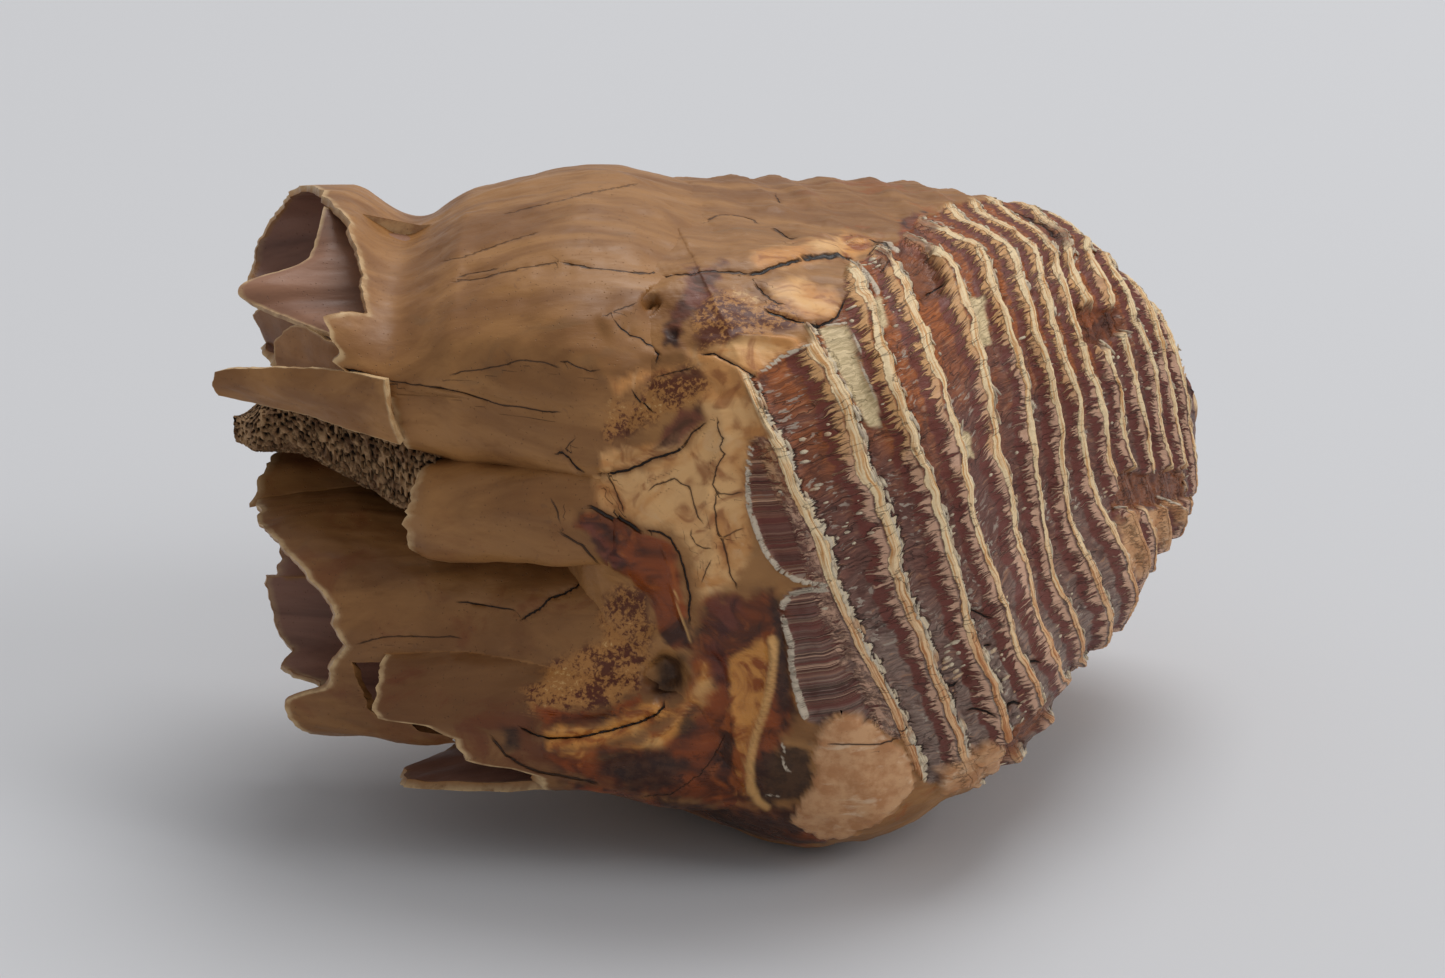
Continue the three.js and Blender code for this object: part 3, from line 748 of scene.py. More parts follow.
def mesh_piece(name: str, points: Array, faces: Array, fans: Array,
               values: dict[str, Array], normals: Array | None = None) -> Piece:
    """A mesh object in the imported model's frame.

    Args:
        name: the object's name.
        points: corners in mm in the working frame.
        faces: rows of four corners.
        fans: rows of three corners.
        values: a number at each corner for each attribute.
        normals: the shading direction at each corner, or None.

    Returns:
        The object, linked to the scene.
    """
    mesh = bpy.data.meshes.new(name)
    mesh.vertices.add(len(points))
    mesh.vertices.foreach_set("co", to_frame(points))
    corners = np.concatenate([faces.ravel(), fans.ravel()]).astype(np.int32)
    starts = np.concatenate([np.arange(len(faces)) * 4,
                             len(faces) * 4 + np.arange(len(fans)) * 3]).astype(np.int32)
    mesh.loops.add(len(corners))
    mesh.loops.foreach_set("vertex_index", corners)
    mesh.polygons.add(len(starts))
    mesh.polygons.foreach_set("loop_start", starts)
    mesh.polygons.foreach_set("use_smooth", np.ones(len(starts), bool))
    mesh.update(calc_edges=True)
    carry(mesh, values)
    if normals is not None:
        mesh.normals_split_custom_set_from_vertices(normals.astype(np.float32))
    return placed(name, mesh)


def grid_faces(rows: int, columns: int, wraps: bool) -> Array:
    """The four-cornered faces of a grid of points, round its columns where it wraps."""
    r = np.arange(rows - 1)[:, None]
    c = np.arange(columns if wraps else columns - 1)[None, :]
    after = (c + 1) % columns
    return np.stack([r * columns + c, r * columns + after, (r + 1) * columns + after,
                     (r + 1) * columns + c], axis=-1).reshape(-1, 4)


def loft(name: str, rings: Array, values: dict[str, Array]) -> Piece:
    """A closed mesh through rings, each end closed to the middle of its ring.

    Args:
        name: the object's name.
        rings: points in mm, as rings by points by 3.
        values: numbers of the same shape as rings, without its last axis.

    Returns:
        The object.
    """
    count, sides = rings.shape[:2]
    points = np.concatenate([rings.reshape(-1, 3), rings[0].mean(0)[None], rings[-1].mean(0)[None]])
    first, last = count * sides, count * sides + 1
    c = np.arange(sides)
    after = (c + 1) % sides
    fans = np.concatenate([
        np.stack([np.full(sides, first), after, c], axis=-1),
        np.stack([np.full(sides, last), (count - 1) * sides + c,
                  (count - 1) * sides + after], axis=-1)])
    faces = grid_faces(count, sides, True)
    a, b, d = points[faces[:, 0]], points[faces[:, 1]], points[faces[:, 3]]
    volume = (np.cross(b - a, d - a) * (a - points.mean(0))).sum()
    if volume < 0:
        faces, fans = faces[:, ::-1], fans[:, ::-1]
    full = {key: np.concatenate([number.ravel(), [number[0].mean(), number[-1].mean()]])
            for key, number in values.items()}
    return mesh_piece(name, points, faces, fans, full)


def uncracked(shape: tuple[int, ...], inside: float, edge: Array, tone: float) -> dict[str, Array]:
    """The numbers that a piece of dentine carries before the near side's marks.

    Args:
        shape: rings by points.
        inside: 1 for the wall of a hollow.
        edge: 1 where the wall has broken off.
        tone: how dark the piece is, from 0 to 1.

    Returns:
        The numbers for each attribute.
    """
    numbers = {"inside": inside, "edge": edge, "crack_side": NO_CRACK, "tone": tone}
    return {key: np.zeros(shape) + number for key, number in numbers.items()}


def combine(base: Piece, other: Piece, operation: str) -> None:
    """Joins other to base or cuts it away, and deletes other.

    Args:
        base: what is changed.
        other: what is joined to it or cut from it.
        operation: UNION or DIFFERENCE.
    """
    change = base.modifiers.new("combine", "BOOLEAN")
    change.operation = operation
    change.solver = "MANIFOLD"
    change.object = other
    baked(base, change)
    bpy.data.objects.remove(other)


def drop_chips(piece: Piece) -> None:
    """Deletes loose crumbs that a cut has left beside the largest part of a piece.

    Args:
        piece: the piece.
    """
    mesh = piece.data
    ends = np.empty(len(mesh.edges) * 2, np.int32)
    mesh.edges.foreach_get("vertices", ends)
    a, b = ends.reshape(-1, 2).T
    label = np.arange(len(mesh.vertices))
    while True:
        low = np.minimum(label[a], label[b])
        new = label.copy()
        np.minimum.at(new, a, low)
        np.minimum.at(new, b, low)
        new = new[new]
        if (new == label).all():
            break
        label = new
    sizes = np.bincount(label, minlength=len(label))
    loose = np.nonzero(label != int(np.argmax(sizes)))[0]
    if not len(loose):
        return
    work = bmesh.new()
    work.from_mesh(mesh)
    work.verts.ensure_lookup_table()
    bmesh.ops.delete(work, geom=[work.verts[int(i)] for i in loose], context="VERTS")
    work.to_mesh(mesh)
    work.free()
    LOG.info("%s: %d loose points deleted", piece.name, len(loose))


def settle(piece: Piece, node: str, material: Material, sharp: float = 0.0) -> None:
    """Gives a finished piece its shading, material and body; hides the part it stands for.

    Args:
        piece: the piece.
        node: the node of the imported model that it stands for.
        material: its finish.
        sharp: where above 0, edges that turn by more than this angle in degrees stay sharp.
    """
    mesh = piece.data
    if sharp:
        mesh.polygons.foreach_set("use_smooth", np.ones(len(mesh.polygons), bool))
        mesh.set_sharp_from_angle(angle=math.radians(sharp))
    mesh.materials.clear()
    mesh.materials.append(material)
    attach(piece, "root")
    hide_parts(node)
    LOG.info("%s: %d triangles", piece.name, sum(len(face.vertices) - 2 for face in mesh.polygons))


@dataclass
class Crown:
    """The crown: its sections on the plates, its ridges and the marks of its near side."""

    # plate, near x, near y, far x, far y, low, high, low on the far side, leans of the
    # bottom and the top
    sections: tuple[tuple[float, ...], ...] = (
        (-4, -29, -28, -36, 34, 28, 78, 28, 0, 0),
        (-3, -25, -42, -33, 48, 14, 97, 12, 1, 0),
        (-2, -16, -50, -28, 54, 7.5, 103, 3, 4, -2),
        (-1, 1, -56, -24, 56, -1.5, 104, -1, 15, -8),
        (-0.4, 12, -59, -20, 57, 0.3, 104, -1.5, 17, -12),
        (0, 19, -58, -18, 58, 3, 104.3, -1.5, 20, -15),
        (2, 39.5, -49, -5, 60, 16, 103, -2.5, 23, -14),
        (4, 49.5, -32, 13.5, 61, 25.5, 101, -1, 20, -12),
        (6, 62, -15.5, 30.5, 62, 30, 99, 4, 17.5, -10),
        (8, 70.8, 0.5, 45.5, 63, 32.5, 95, 15, 12, -8),
        (10, 79, 15, 60, 64, 34, 90.5, 28, 9, -7.5),
        (12, 86, 29, 74.5, 63, 38, 77, 36, 5, -5),
        (13.4, 90.3, 39, 85, 59, 41, 64, 42, 1, -3),
        (14, 90, 45, 88.5, 52, 47, 57, 47, 0, 0))
    squareness: tuple[float, float] = (4.2, 3.4)
    ridge_height: float = 2.1
    first_row: float = -4.0
    face_start: float = -0.5
    face_split: float = 6.5
    face_end: float = 13.5
    last_row: float = 14.0
    near_side: tuple[float, float] = (-66.0, 80.0)  # degrees at which the near pieces end
    core: tuple[float, float, float] = (12.0, 4.0, 52.0)  # the pieces close towards this place
    step: float = 0.44 * DETAIL
    marks: dict[str, Array] = field(default_factory=dict)
    crumbs: dict[str, Array] = field(default_factory=dict)

    def point(self, plate: Array, angle: Array) -> Array:
        """Points of the crown by plate number and by angle in radians, 0 on the near side.

        Args:
            plate: plate numbers.
            angle: angles round the section.

        Returns:
            Points in mm.
        """
        held = np.clip(plate, self.first_row, self.last_row)
        row = smooth_rows(self.sections, held)
        near_x, near_y, far_x, far_y, low, high, far_low, lean_low, lean_high = (
            row[..., i] for i in range(1, 10))
        c, up = square_ring(angle, *self.squareness)
        across = 0.5 + 0.5 * c
        lean = np.where(up > 0, lean_high, lean_low) * np.abs(up) ** 1.3 * across
        middle = (low + high) / 2
        nearby = smoothstep(across, 0.45, 1.0)
        reach = np.where(up > 0, high - middle, middle - lerp(far_low, low, nearby))
        return np.stack([far_x + (near_x - far_x) * across + lean,
                         far_y + (near_y - far_y) * across,
                         middle + reach * up], axis=-1)

    def outward(self, plate: Array, angle: Array) -> Array:
        """The direction out of the crown at a plate and angle."""
        along = self.point(plate + 0.05, angle) - self.point(plate - 0.05, angle)
        around = self.point(plate, angle + 0.02) - self.point(plate, angle - 0.02)
        return unit(np.cross(along, around))

    def angles(self) -> Array:
        """The angles of the columns: closest on the near side, wider on the far side."""
        dense = np.linspace(-math.pi, math.pi, 6001)
        ring = self.point(np.full(dense.shape, 3.0), dense)
        run = np.concatenate([[0.0], np.cumsum(np.linalg.norm(np.diff(ring, axis=0), axis=1))])
        turn = np.degrees(np.abs(dense - math.radians(6)))
        spacing = self.step * (1.0 + 2.2 * smoothstep(turn, 62.0, 110.0))
        count = np.concatenate([[0.0], np.cumsum(np.diff(run) / spacing[1:])])
        columns = int(count[-1])
        return np.interp(np.arange(columns) * count[-1] / columns, count, dense)

    def rows(self) -> Array:
        """The plate numbers of the rows."""
        front = np.linspace(self.first_row, self.face_start, int(50 / self.step))[:-1]
        each = int(9.2 / self.step)
        face = np.linspace(self.face_start, self.face_end, len(CRESTS) * each + 1)
        return np.concatenate([front, face, np.linspace(self.face_end, self.last_row, 9)[1:]])

    def plate_seen(self, x: Array, y: Array) -> Array:
        """The plate number of a point of the view, between the crests on its two sides.

        Args:
            x: across in the view.
            y: down in the view.

        Returns:
            Plate numbers.
        """
        lines = []
        for crest in CRESTS:
            line = np.array(crest, float).reshape(-1, 2)
            at = np.interp(y, line[:, 1], line[:, 0])
            top = (line[1] - line[0])[0] / (line[1] - line[0])[1]
            end = (line[-1] - line[-3])[0] / (line[-1] - line[-3])[1]
            at += np.where(y < line[0, 1], (y - line[0, 1]) * top, 0.0)
            at += np.where(y > line[-1, 1], (y - line[-1, 1]) * end, 0.0)
            lines.append(at)
        for k in range(1, len(lines)):
            lines[k] = np.maximum(lines[k], lines[k - 1] + 6.0)
        plate = (x - lines[0]) / 55.0
        for k in range(len(lines) - 1):
            share = (x - lines[k]) / (lines[k + 1] - lines[k])
            plate = np.where(x >= lines[k], k + share, plate)
        return np.where(x >= lines[-1], 13.0 + (x - lines[-1]) / 24.0, plate)

    def fitted(self, rows: Array, angles: Array) -> Array:
        """The plate number to build each row and column at, so that the crests lie right.

        Args:
            rows: the rows' own plate numbers.
            angles: the columns' angles.

        Returns:
            Plate numbers, rows by columns.
        """
        few = angles[:: 4]
        dense = np.linspace(-4.0, 14.0, 721)
        plate, angle = np.meshgrid(dense, few, indexing="ij")
        proud = self.point(plate, angle) + self.outward(plate, angle) * self.ridge_height
        x, y = VIEW.pixels(proud)
        seen = self.plate_seen(x, y)
        turn = np.degrees(np.abs(angle))
        share = ((1.0 - smoothstep(turn, 52.0, 80.0)) * smoothstep(plate, -1.6, -0.2)
                 * (1.0 - smoothstep(plate, 13.0, 13.9)))
        seen = np.clip(lerp(plate, seen, share), plate - 0.9, plate + 0.9)
        seen = np.maximum.accumulate(seen, axis=0) + 1e-6 * np.arange(len(dense))[:, None]
        seen[0], seen[-1] = -4.0, 14.0
        found = np.stack([np.interp(rows, seen[:, j], dense) for j in range(len(few))], axis=1)
        first = np.array([np.interp(0.0, seen[:, j], dense) for j in range(len(few))])
        before = -4.0 + (rows[:, None] + 4.0) / 4.0 * (first[None, :] + 4.0)
        found = np.where(rows[:, None] < 0.0, before, found)
        at = np.interp(np.arange(len(angles)), np.arange(len(few)) * 4, np.arange(len(few)))
        low = np.floor(at).astype(int)
        high = np.minimum(low + 1, len(few) - 1)
        return lerp(found[:, low], found[:, high], (at - low)[None, :])

    def profile(self, gap: Array, pitch: Array) -> Array:
        """The height of a ridge, from 0 to 1, at a distance in mm from its crest."""
        d = gap * np.clip(PLATE_STEP / np.maximum(pitch, 2.0), 0.8, 1.9)
        flank = smoothstep(d, -4.6, -1.0) * (1.0 - smoothstep(d, 0.9, 2.7))
        crest = np.exp(-(d / 1.05) ** 2)
        return 0.66 * flank + 0.34 * crest

    def relief(self, facing: Array, q: Array, pitch: Array, run: Array,
               angle: Array, points: Array) -> Array:
        """The height in mm of the fine form above the plain crown; keeps the marks.

        Args:
            facing: the cosine between the outward direction and the camera.
            q: plate numbers, bent as the ridges are.
            pitch: mm between crests.
            run: mm along the ridge.
            angle: angle round the section in radians.
            points: the plain crown's points in mm.

        Returns:
            Heights in mm.
        """
        turn = np.degrees(np.abs(np.mod(angle + math.pi, 2 * math.pi) - math.pi))
        near = 1.0 - smoothstep(turn, 78.0, 100.0)
        front = 1.0 - smoothstep(turn, 125.0, 150.0)
        wobble = LUMPS.layered(points, 2.4, 3)
        fine = LUMPS.at(points, 0.9)
        self.marks, marked = NearSide().read(points, facing * front - (1.0 - front), CRACKS)
        face = self.marks["face"]
        broken = self.marks["broken"]
        beyond = smoothstep(turn, 50.0, 88.0) * smoothstep(q, 1.5, 2.5)
        shown = np.clip(np.maximum(face * (1 - beyond), smoothstep(q, 1.6, 2.4) * (1 - near) * 0.2),
                        0, 1)
        gap = (q - np.round(q)) * pitch
        plate = np.round(q)

        def lump(along: float, across: Array, depth: float) -> Array:
            """Lumps of about 1 mm, drawn out along or across the ridges."""
            return LUMPS.at(np.stack([run * along, across, run * 0 + depth], -1), 1.0)

        uneven = 0.82 + 0.35 * LUMPS.at(np.stack([plate * 7.7, run, run * 0 + 3.0], -1), 9.0)
        ridge = self.profile(gap, pitch) * shown * (1 - 0.75 * broken) * uneven
        inside = smoothstep(q, -0.3, -0.48) * face
        grown = lerp(0.6, 1.0, smoothstep(q, -0.6, 2.0))
        height = self.ridge_height * ridge * grown - 0.5 * face
        height -= 0.9 * broken + 0.25 * inside
        height += marked
        patch = self.marks["patch"]
        height = lerp(height, 0.9, patch * (q < 2.5)) + 0.5 * patch * (q >= 2.5)
        # the ragged flutes of the enamel, and the grain of the valleys
        flank = smoothstep(gap, -4.4, -2.5) * (1 - smoothstep(gap, -1.4, -0.8))
        height += 0.22 * lump(1.25, q * 2.0, 0.0) * flank * shown
        height += 0.16 * lump(1.1, q * 3.0, 9.0) * shown * (1 - patch)
        right = smoothstep(gap, 0.8, 1.3) * (1 - smoothstep(gap, 2.4, 3.0))
        height += 0.6 * right * shown * (smoothstep(lump(0.5, plate * 3.1, 4.0), 0.0, 0.35) - 0.4)
        # the folds of cement over the plates on the other sides, and slow lumps everywhere
        other = (1 - shown) * smoothstep(q, -0.6, 0.6)
        height += 0.34 * other * np.cos(2 * math.pi * (q - plate)) * (0.7 + 0.6 * wobble)
        flow = points * np.array([0.16, 1.0, 1.0])
        height += 0.2 * LUMPS.layered(flow, 3.4, 2) * (1 - shown) * (1 - patch)
        height += 0.5 * LUMPS.layered(points, 9.0, 2) * (1 - 0.7 * shown)
        height += 0.07 * fine
        return height

    def build(self) -> list[Piece]:
        """Makes the crown as closed pieces that share their borders."""
        rows, angles = self.rows(), self.angles()
        plate = self.fitted(rows, angles)
        angle = np.broadcast_to(angles[None, :], plate.shape)
        points = self.point(plate, angle)
        out = self.outward(np.clip(plate, -3.95, 13.95), angle)
        q = np.broadcast_to(rows[:, None], plate.shape)
        along = np.roll(points, -1, axis=1) - points
        steps = np.linalg.norm(along, axis=-1)
        run = np.cumsum(steps, axis=1) - steps
        zero = int(np.argmin(np.abs(angles)))
        run = run - run[:, zero: zero + 1]
        slope = np.gradient(points, axis=0) / np.gradient(rows)[:, None, None]
        tangent = unit(np.gradient(points, axis=1))
        pitch = np.linalg.norm(np.cross(slope, tangent), axis=-1)
        facing = VIEW.facing(points, out)
        seen = self.plate_seen(*VIEW.pixels(points + out * 1.2))
        q = np.where((q < 0.0) & (facing > 0.0), np.clip(seen, -0.49, 0.0), q)
        lane = np.stack([run * 0.16, np.round(q) * 5.3, q * 0], -1)
        bend = LUMPS.layered(lane, 1.0, 3) * 0.085 * smoothstep(q, -0.6, 0.6)
        q = q + bend * (1 - smoothstep(q, 12.5, 13.5))
        height = self.relief(facing, q, pitch, run, angle, points + out * 1.2)
        place = np.broadcast_to(rows[:, None], plate.shape)
        ends = smoothstep(place, -4.0, -3.6) * (1.0 - 0.8 * smoothstep(place, 13.4, 14.0))
        shaped = points + out * (height * ends)[..., None]
        tip = shaped[-1].mean(0) + np.array([0.6, 0.3, 0.0])
        root = shaped[0].mean(0)
        front = [lerp(root, shaped[0], s)[None] for s in (0.0, 0.25, 0.5, 0.75)]
        hind = [lerp(tip, shaped[-1], s)[None] + [[np.array([1.2 * (1 - s * s), 0, 0])]]
                for s in (0.75, 0.5, 0.25, 0.02)]
        full = np.concatenate(front + [shaped] + hind)
        count = full.shape[1]
        pitch = np.where((q <= 0.0) & (q > -0.5), PLATE_STEP, pitch)
        values = {"plate": q, "along": run, "pitch": pitch, **self.marks}
        values = {key: np.pad(number, ((4, 4), (0, 0)), mode="edge")
                  for key, number in values.items()}
        wrapped = np.concatenate([full[:, -1:], full, full[:, :1]], axis=1)
        normal = np.cross(np.gradient(wrapped, axis=0), np.gradient(wrapped, axis=1))[:, 1:-1]
        normal = unit(normal + 1e-12)
        if (normal * (full - full.reshape(-1, 3).mean(0))).sum() < 0:
            normal = -normal
        self.crumbs = self.crumb_places(shaped, q, pitch, run)
        low_column, high_column = (int(np.argmin(np.abs(angles - math.radians(turn))))
                                   for turn in self.near_side)
        near_columns = np.arange(low_column, high_column + 1)
        far_columns = np.concatenate([np.arange(high_column, count), np.arange(0, low_column + 1)])
        split = [int(np.argmin(np.abs(rows - k))) + 4 for k in (self.face_start, self.face_split)]
        split = [0, *split, len(full) - 1]
        pieces = [self.patch(name, full, normal, values, np.arange(first, last + 1), near_columns)
                  for name, first, last in zip(("crown_front", "crown_face", "crown_hind_face"),
                                               split[:-1], split[1:])]
        pieces.append(self.patch("crown_far_side", full, normal, values,
                                 np.arange(0, len(full)), far_columns))
        return pieces

    def crumb_places(self, points: Array, q: Array, pitch: Array, run: Array) -> dict[str, Array]:
        """Where crumbs of chalky enamel lie: right of each crest, and here and there between.

        Args:
            points: the surface's points in mm.
            q: plate numbers.
            pitch: mm between crests.
            run: mm along the ridge.

        Returns:
            Places, outward directions, the way each crumb lies, and sizes.
        """
        along = unit(np.gradient(points, axis=1))
        across = unit(np.gradient(points, axis=0))
        out = unit(np.cross(along, across))
        out = np.where((VIEW.facing(points, out) < 0)[..., None], -out, out)
        clean = (self.marks["face"] > 0.7) & (self.marks["broken"] < 0.3)
        clean &= (self.marks["patch"] < 0.2) & (self.marks["fluted"] < 0.3) & (pitch > 3.0)
        clean &= q > -0.4
        gap = (q - np.round(q)) * pitch
        rng = np.random.default_rng(23)
        draw = rng.random(q.shape)
        lane = np.stack([run * 0.35, np.round(q) * 4.1, q * 0 + 6], -1)
        many = smoothstep(LUMPS.layered(lane, 1.0, 3), -0.25, 0.5)
        lee = clean & (gap > 0.85) & (gap < 2.1) & (draw < 0.42 * many)
        wide = np.stack([run * 0.07, q * 0.9, q * 0 + 8], -1)
        strewn = smoothstep(LUMPS.layered(wide, 1.0, 3), 0.05, 0.5)
        loose = clean & (gap > -4.5) & ((gap < -2.6) | (gap > 2.0))
        loose &= draw < 0.1 * strewn * (1.2 - np.clip(q / 4.0, 0.0, 1.0))
        size = np.where(lee, 0.8 + 0.9 * rng.random(q.shape), 0.55 + 0.7 * rng.random(q.shape))
        chosen = lee | loose
        lay = np.where(lee[..., None], along, across)
        return {"place": points[chosen], "out": out[chosen], "lay": lay[chosen],
                "size": size[chosen]}

    def patch(self, name: str, full: Array, normal: Array, values: dict[str, Array],
              rows: Array, columns: Array) -> Piece:
        """One closed piece of the crown: part of its surface, closed to a point inside.

        Args:
            name: the piece's name.
            full: all points of the surface in mm.
            normal: the direction out of the surface at each.
            values: numbers at each.
            rows: the rows of the piece.
            columns: its columns.

        Returns:
            The object.
        """
        points = full[rows][:, columns]
        directions = normal[rows][:, columns]
        r, c = points.shape[:2]
        flat = points.reshape(-1, 3)
        inner = lerp(flat.mean(0), np.array(self.core), 0.6)
        faces = grid_faces(r, c, False)
        index = np.arange(r * c).reshape(r, c)
        edge = np.concatenate([index[0, :-1], index[:-1, -1], index[-1, :0:-1], index[:0:-1, 0]])
        after = np.roll(edge, -1)
        fans = np.stack([after, edge, np.full(len(edge), r * c)], axis=-1)
        a, b, d = flat[faces[:, 0]], flat[faces[:, 1]], flat[faces[:, 3]]
        if (np.cross(b - a, d - a) * directions.reshape(-1, 3)[faces[:, 0]]).sum() < 0:
            faces, fans = faces[:, ::-1], fans[:, ::-1]
        numbers = {key: np.append(value[rows][:, columns].ravel(), 0.0)
                   for key, value in values.items()}
        shading = np.concatenate([directions.reshape(-1, 3), [[0.0, 0.0, 1.0]]])
        return mesh_piece(name, np.concatenate([flat, inner[None]]), faces, fans, numbers,
                          shading)


@dataclass
class Crumbs:
    """Small lumps of chalky enamel that a node tree sets on the crown's points."""

    size: float = 0.42
    flatness: float = 0.42
    unevenness: float = 0.6
    seed: int = 7

    def tree(self) -> bpy.types.NodeTree:
        """The tree: a lump at each point, turned to the surface, then made one mesh."""
        tree = bpy.data.node_groups.new("enamel_crumbs", "GeometryNodeTree")
        for key, kind in (("Points", "Geometry"), ("Size", "Float"), ("Flatness", "Float"),
                          ("Unevenness", "Float"), ("Seed", "Int"), ("Material", "Material")):
            tree.interface.new_socket(key, in_out="INPUT", socket_type=f"NodeSocket{kind}")
        tree.interface.new_socket("Lumps", in_out="OUTPUT", socket_type="NodeSocketGeometry")
        w = Wires(tree)
        given = w.node("NodeGroupInput").outputs
        size, out, lay = (
            w.fed("GeometryNodeInputNamedAttribute", {"Name": key}, data_type=kind)["Attribute"]
            for key, kind in (("size", "FLOAT"), ("out", "FLOAT_VECTOR"),
                              ("lay", "FLOAT_VECTOR")))
        turn = w.fed("FunctionNodeAxesToRotation", {0: out, 1: lay}, primary_axis="Z",
                     secondary_axis="X")[0]
        vary = w.fed("FunctionNodeRandomValue", {0: (0.9, 0.5, 0.7), 1: (3.0, 1.0, 1.2),
                                                 "Seed": given["Seed"]},
                     data_type="FLOAT_VECTOR")[0]
        flat = w.vectors("MULTIPLY", {0: vary, 1: w.vector(1.0, 1.0, given["Flatness"])})
        lump = w.fed("GeometryNodeMeshIcoSphere", {"Radius": given["Size"], "Subdivisions": 1})
        grown = w.fed("GeometryNodeInstanceOnPoints", {
            "Points": given["Points"], "Instance": lump["Mesh"], "Rotation": turn,
            "Scale": w.vectors("SCALE", {0: flat, "Scale": size})})[0]
        real = w.fed("GeometryNodeRealizeInstances", {0: grown})[0]
        here = w.node("GeometryNodeInputPosition").outputs[0]
        rough = w.fed("ShaderNodeTexNoise", {"Scale": 1600.0, "Vector": here},
                      noise_dimensions="3D")["Color"]
        centred = w.vectors("SUBTRACT", {0: rough, 1: (0.5, 0.5, 0.5)})
        push = w.vectors("SCALE", {0: centred,
                               "Scale": w.times(given["Unevenness"], given["Size"])})
        moved = w.fed("GeometryNodeSetPosition", {"Geometry": real, "Offset": push})[0]
        dressed = w.fed("GeometryNodeSetMaterial", {"Geometry": moved,
                                                    "Material": given["Material"]})[0]
        w.fed("NodeGroupOutput", {0: dressed})
        return tree

    def build(self, places: dict[str, Array], material: Material) -> Piece:
        """Sets the lumps on the places and makes them one plain mesh.

        Args:
            places: places in mm, outward directions, the ways the lumps lie, and sizes.
            material: their finish.

        Returns:
            The object, without a modifier.
        """
        mesh = bpy.data.meshes.new("enamel_crumbs")
        mesh.vertices.add(len(places["place"]))
        mesh.vertices.foreach_set("co", to_frame(places["place"], held=False))
        carry(mesh, {key: places[key] for key in ("out", "lay", "size")})
        piece = placed("enamel_crumbs", mesh)
        tree = self.tree()
        change = piece.modifiers.new("crumbs", "NODES")
        change.node_group = tree
        names = {item.name: item.identifier for item in tree.interface.items_tree
                 if item.item_type == "SOCKET" and item.in_out == "INPUT"}
        for key, value in (("Size", self.size * MM), ("Flatness", self.flatness),
                           ("Unevenness", self.unevenness), ("Seed", self.seed),
                           ("Material", material)):
            change[names[key]] = value
        baked(piece, change)
        piece.data.polygons.foreach_set("use_smooth", np.ones(len(piece.data.polygons), bool))
        return piece


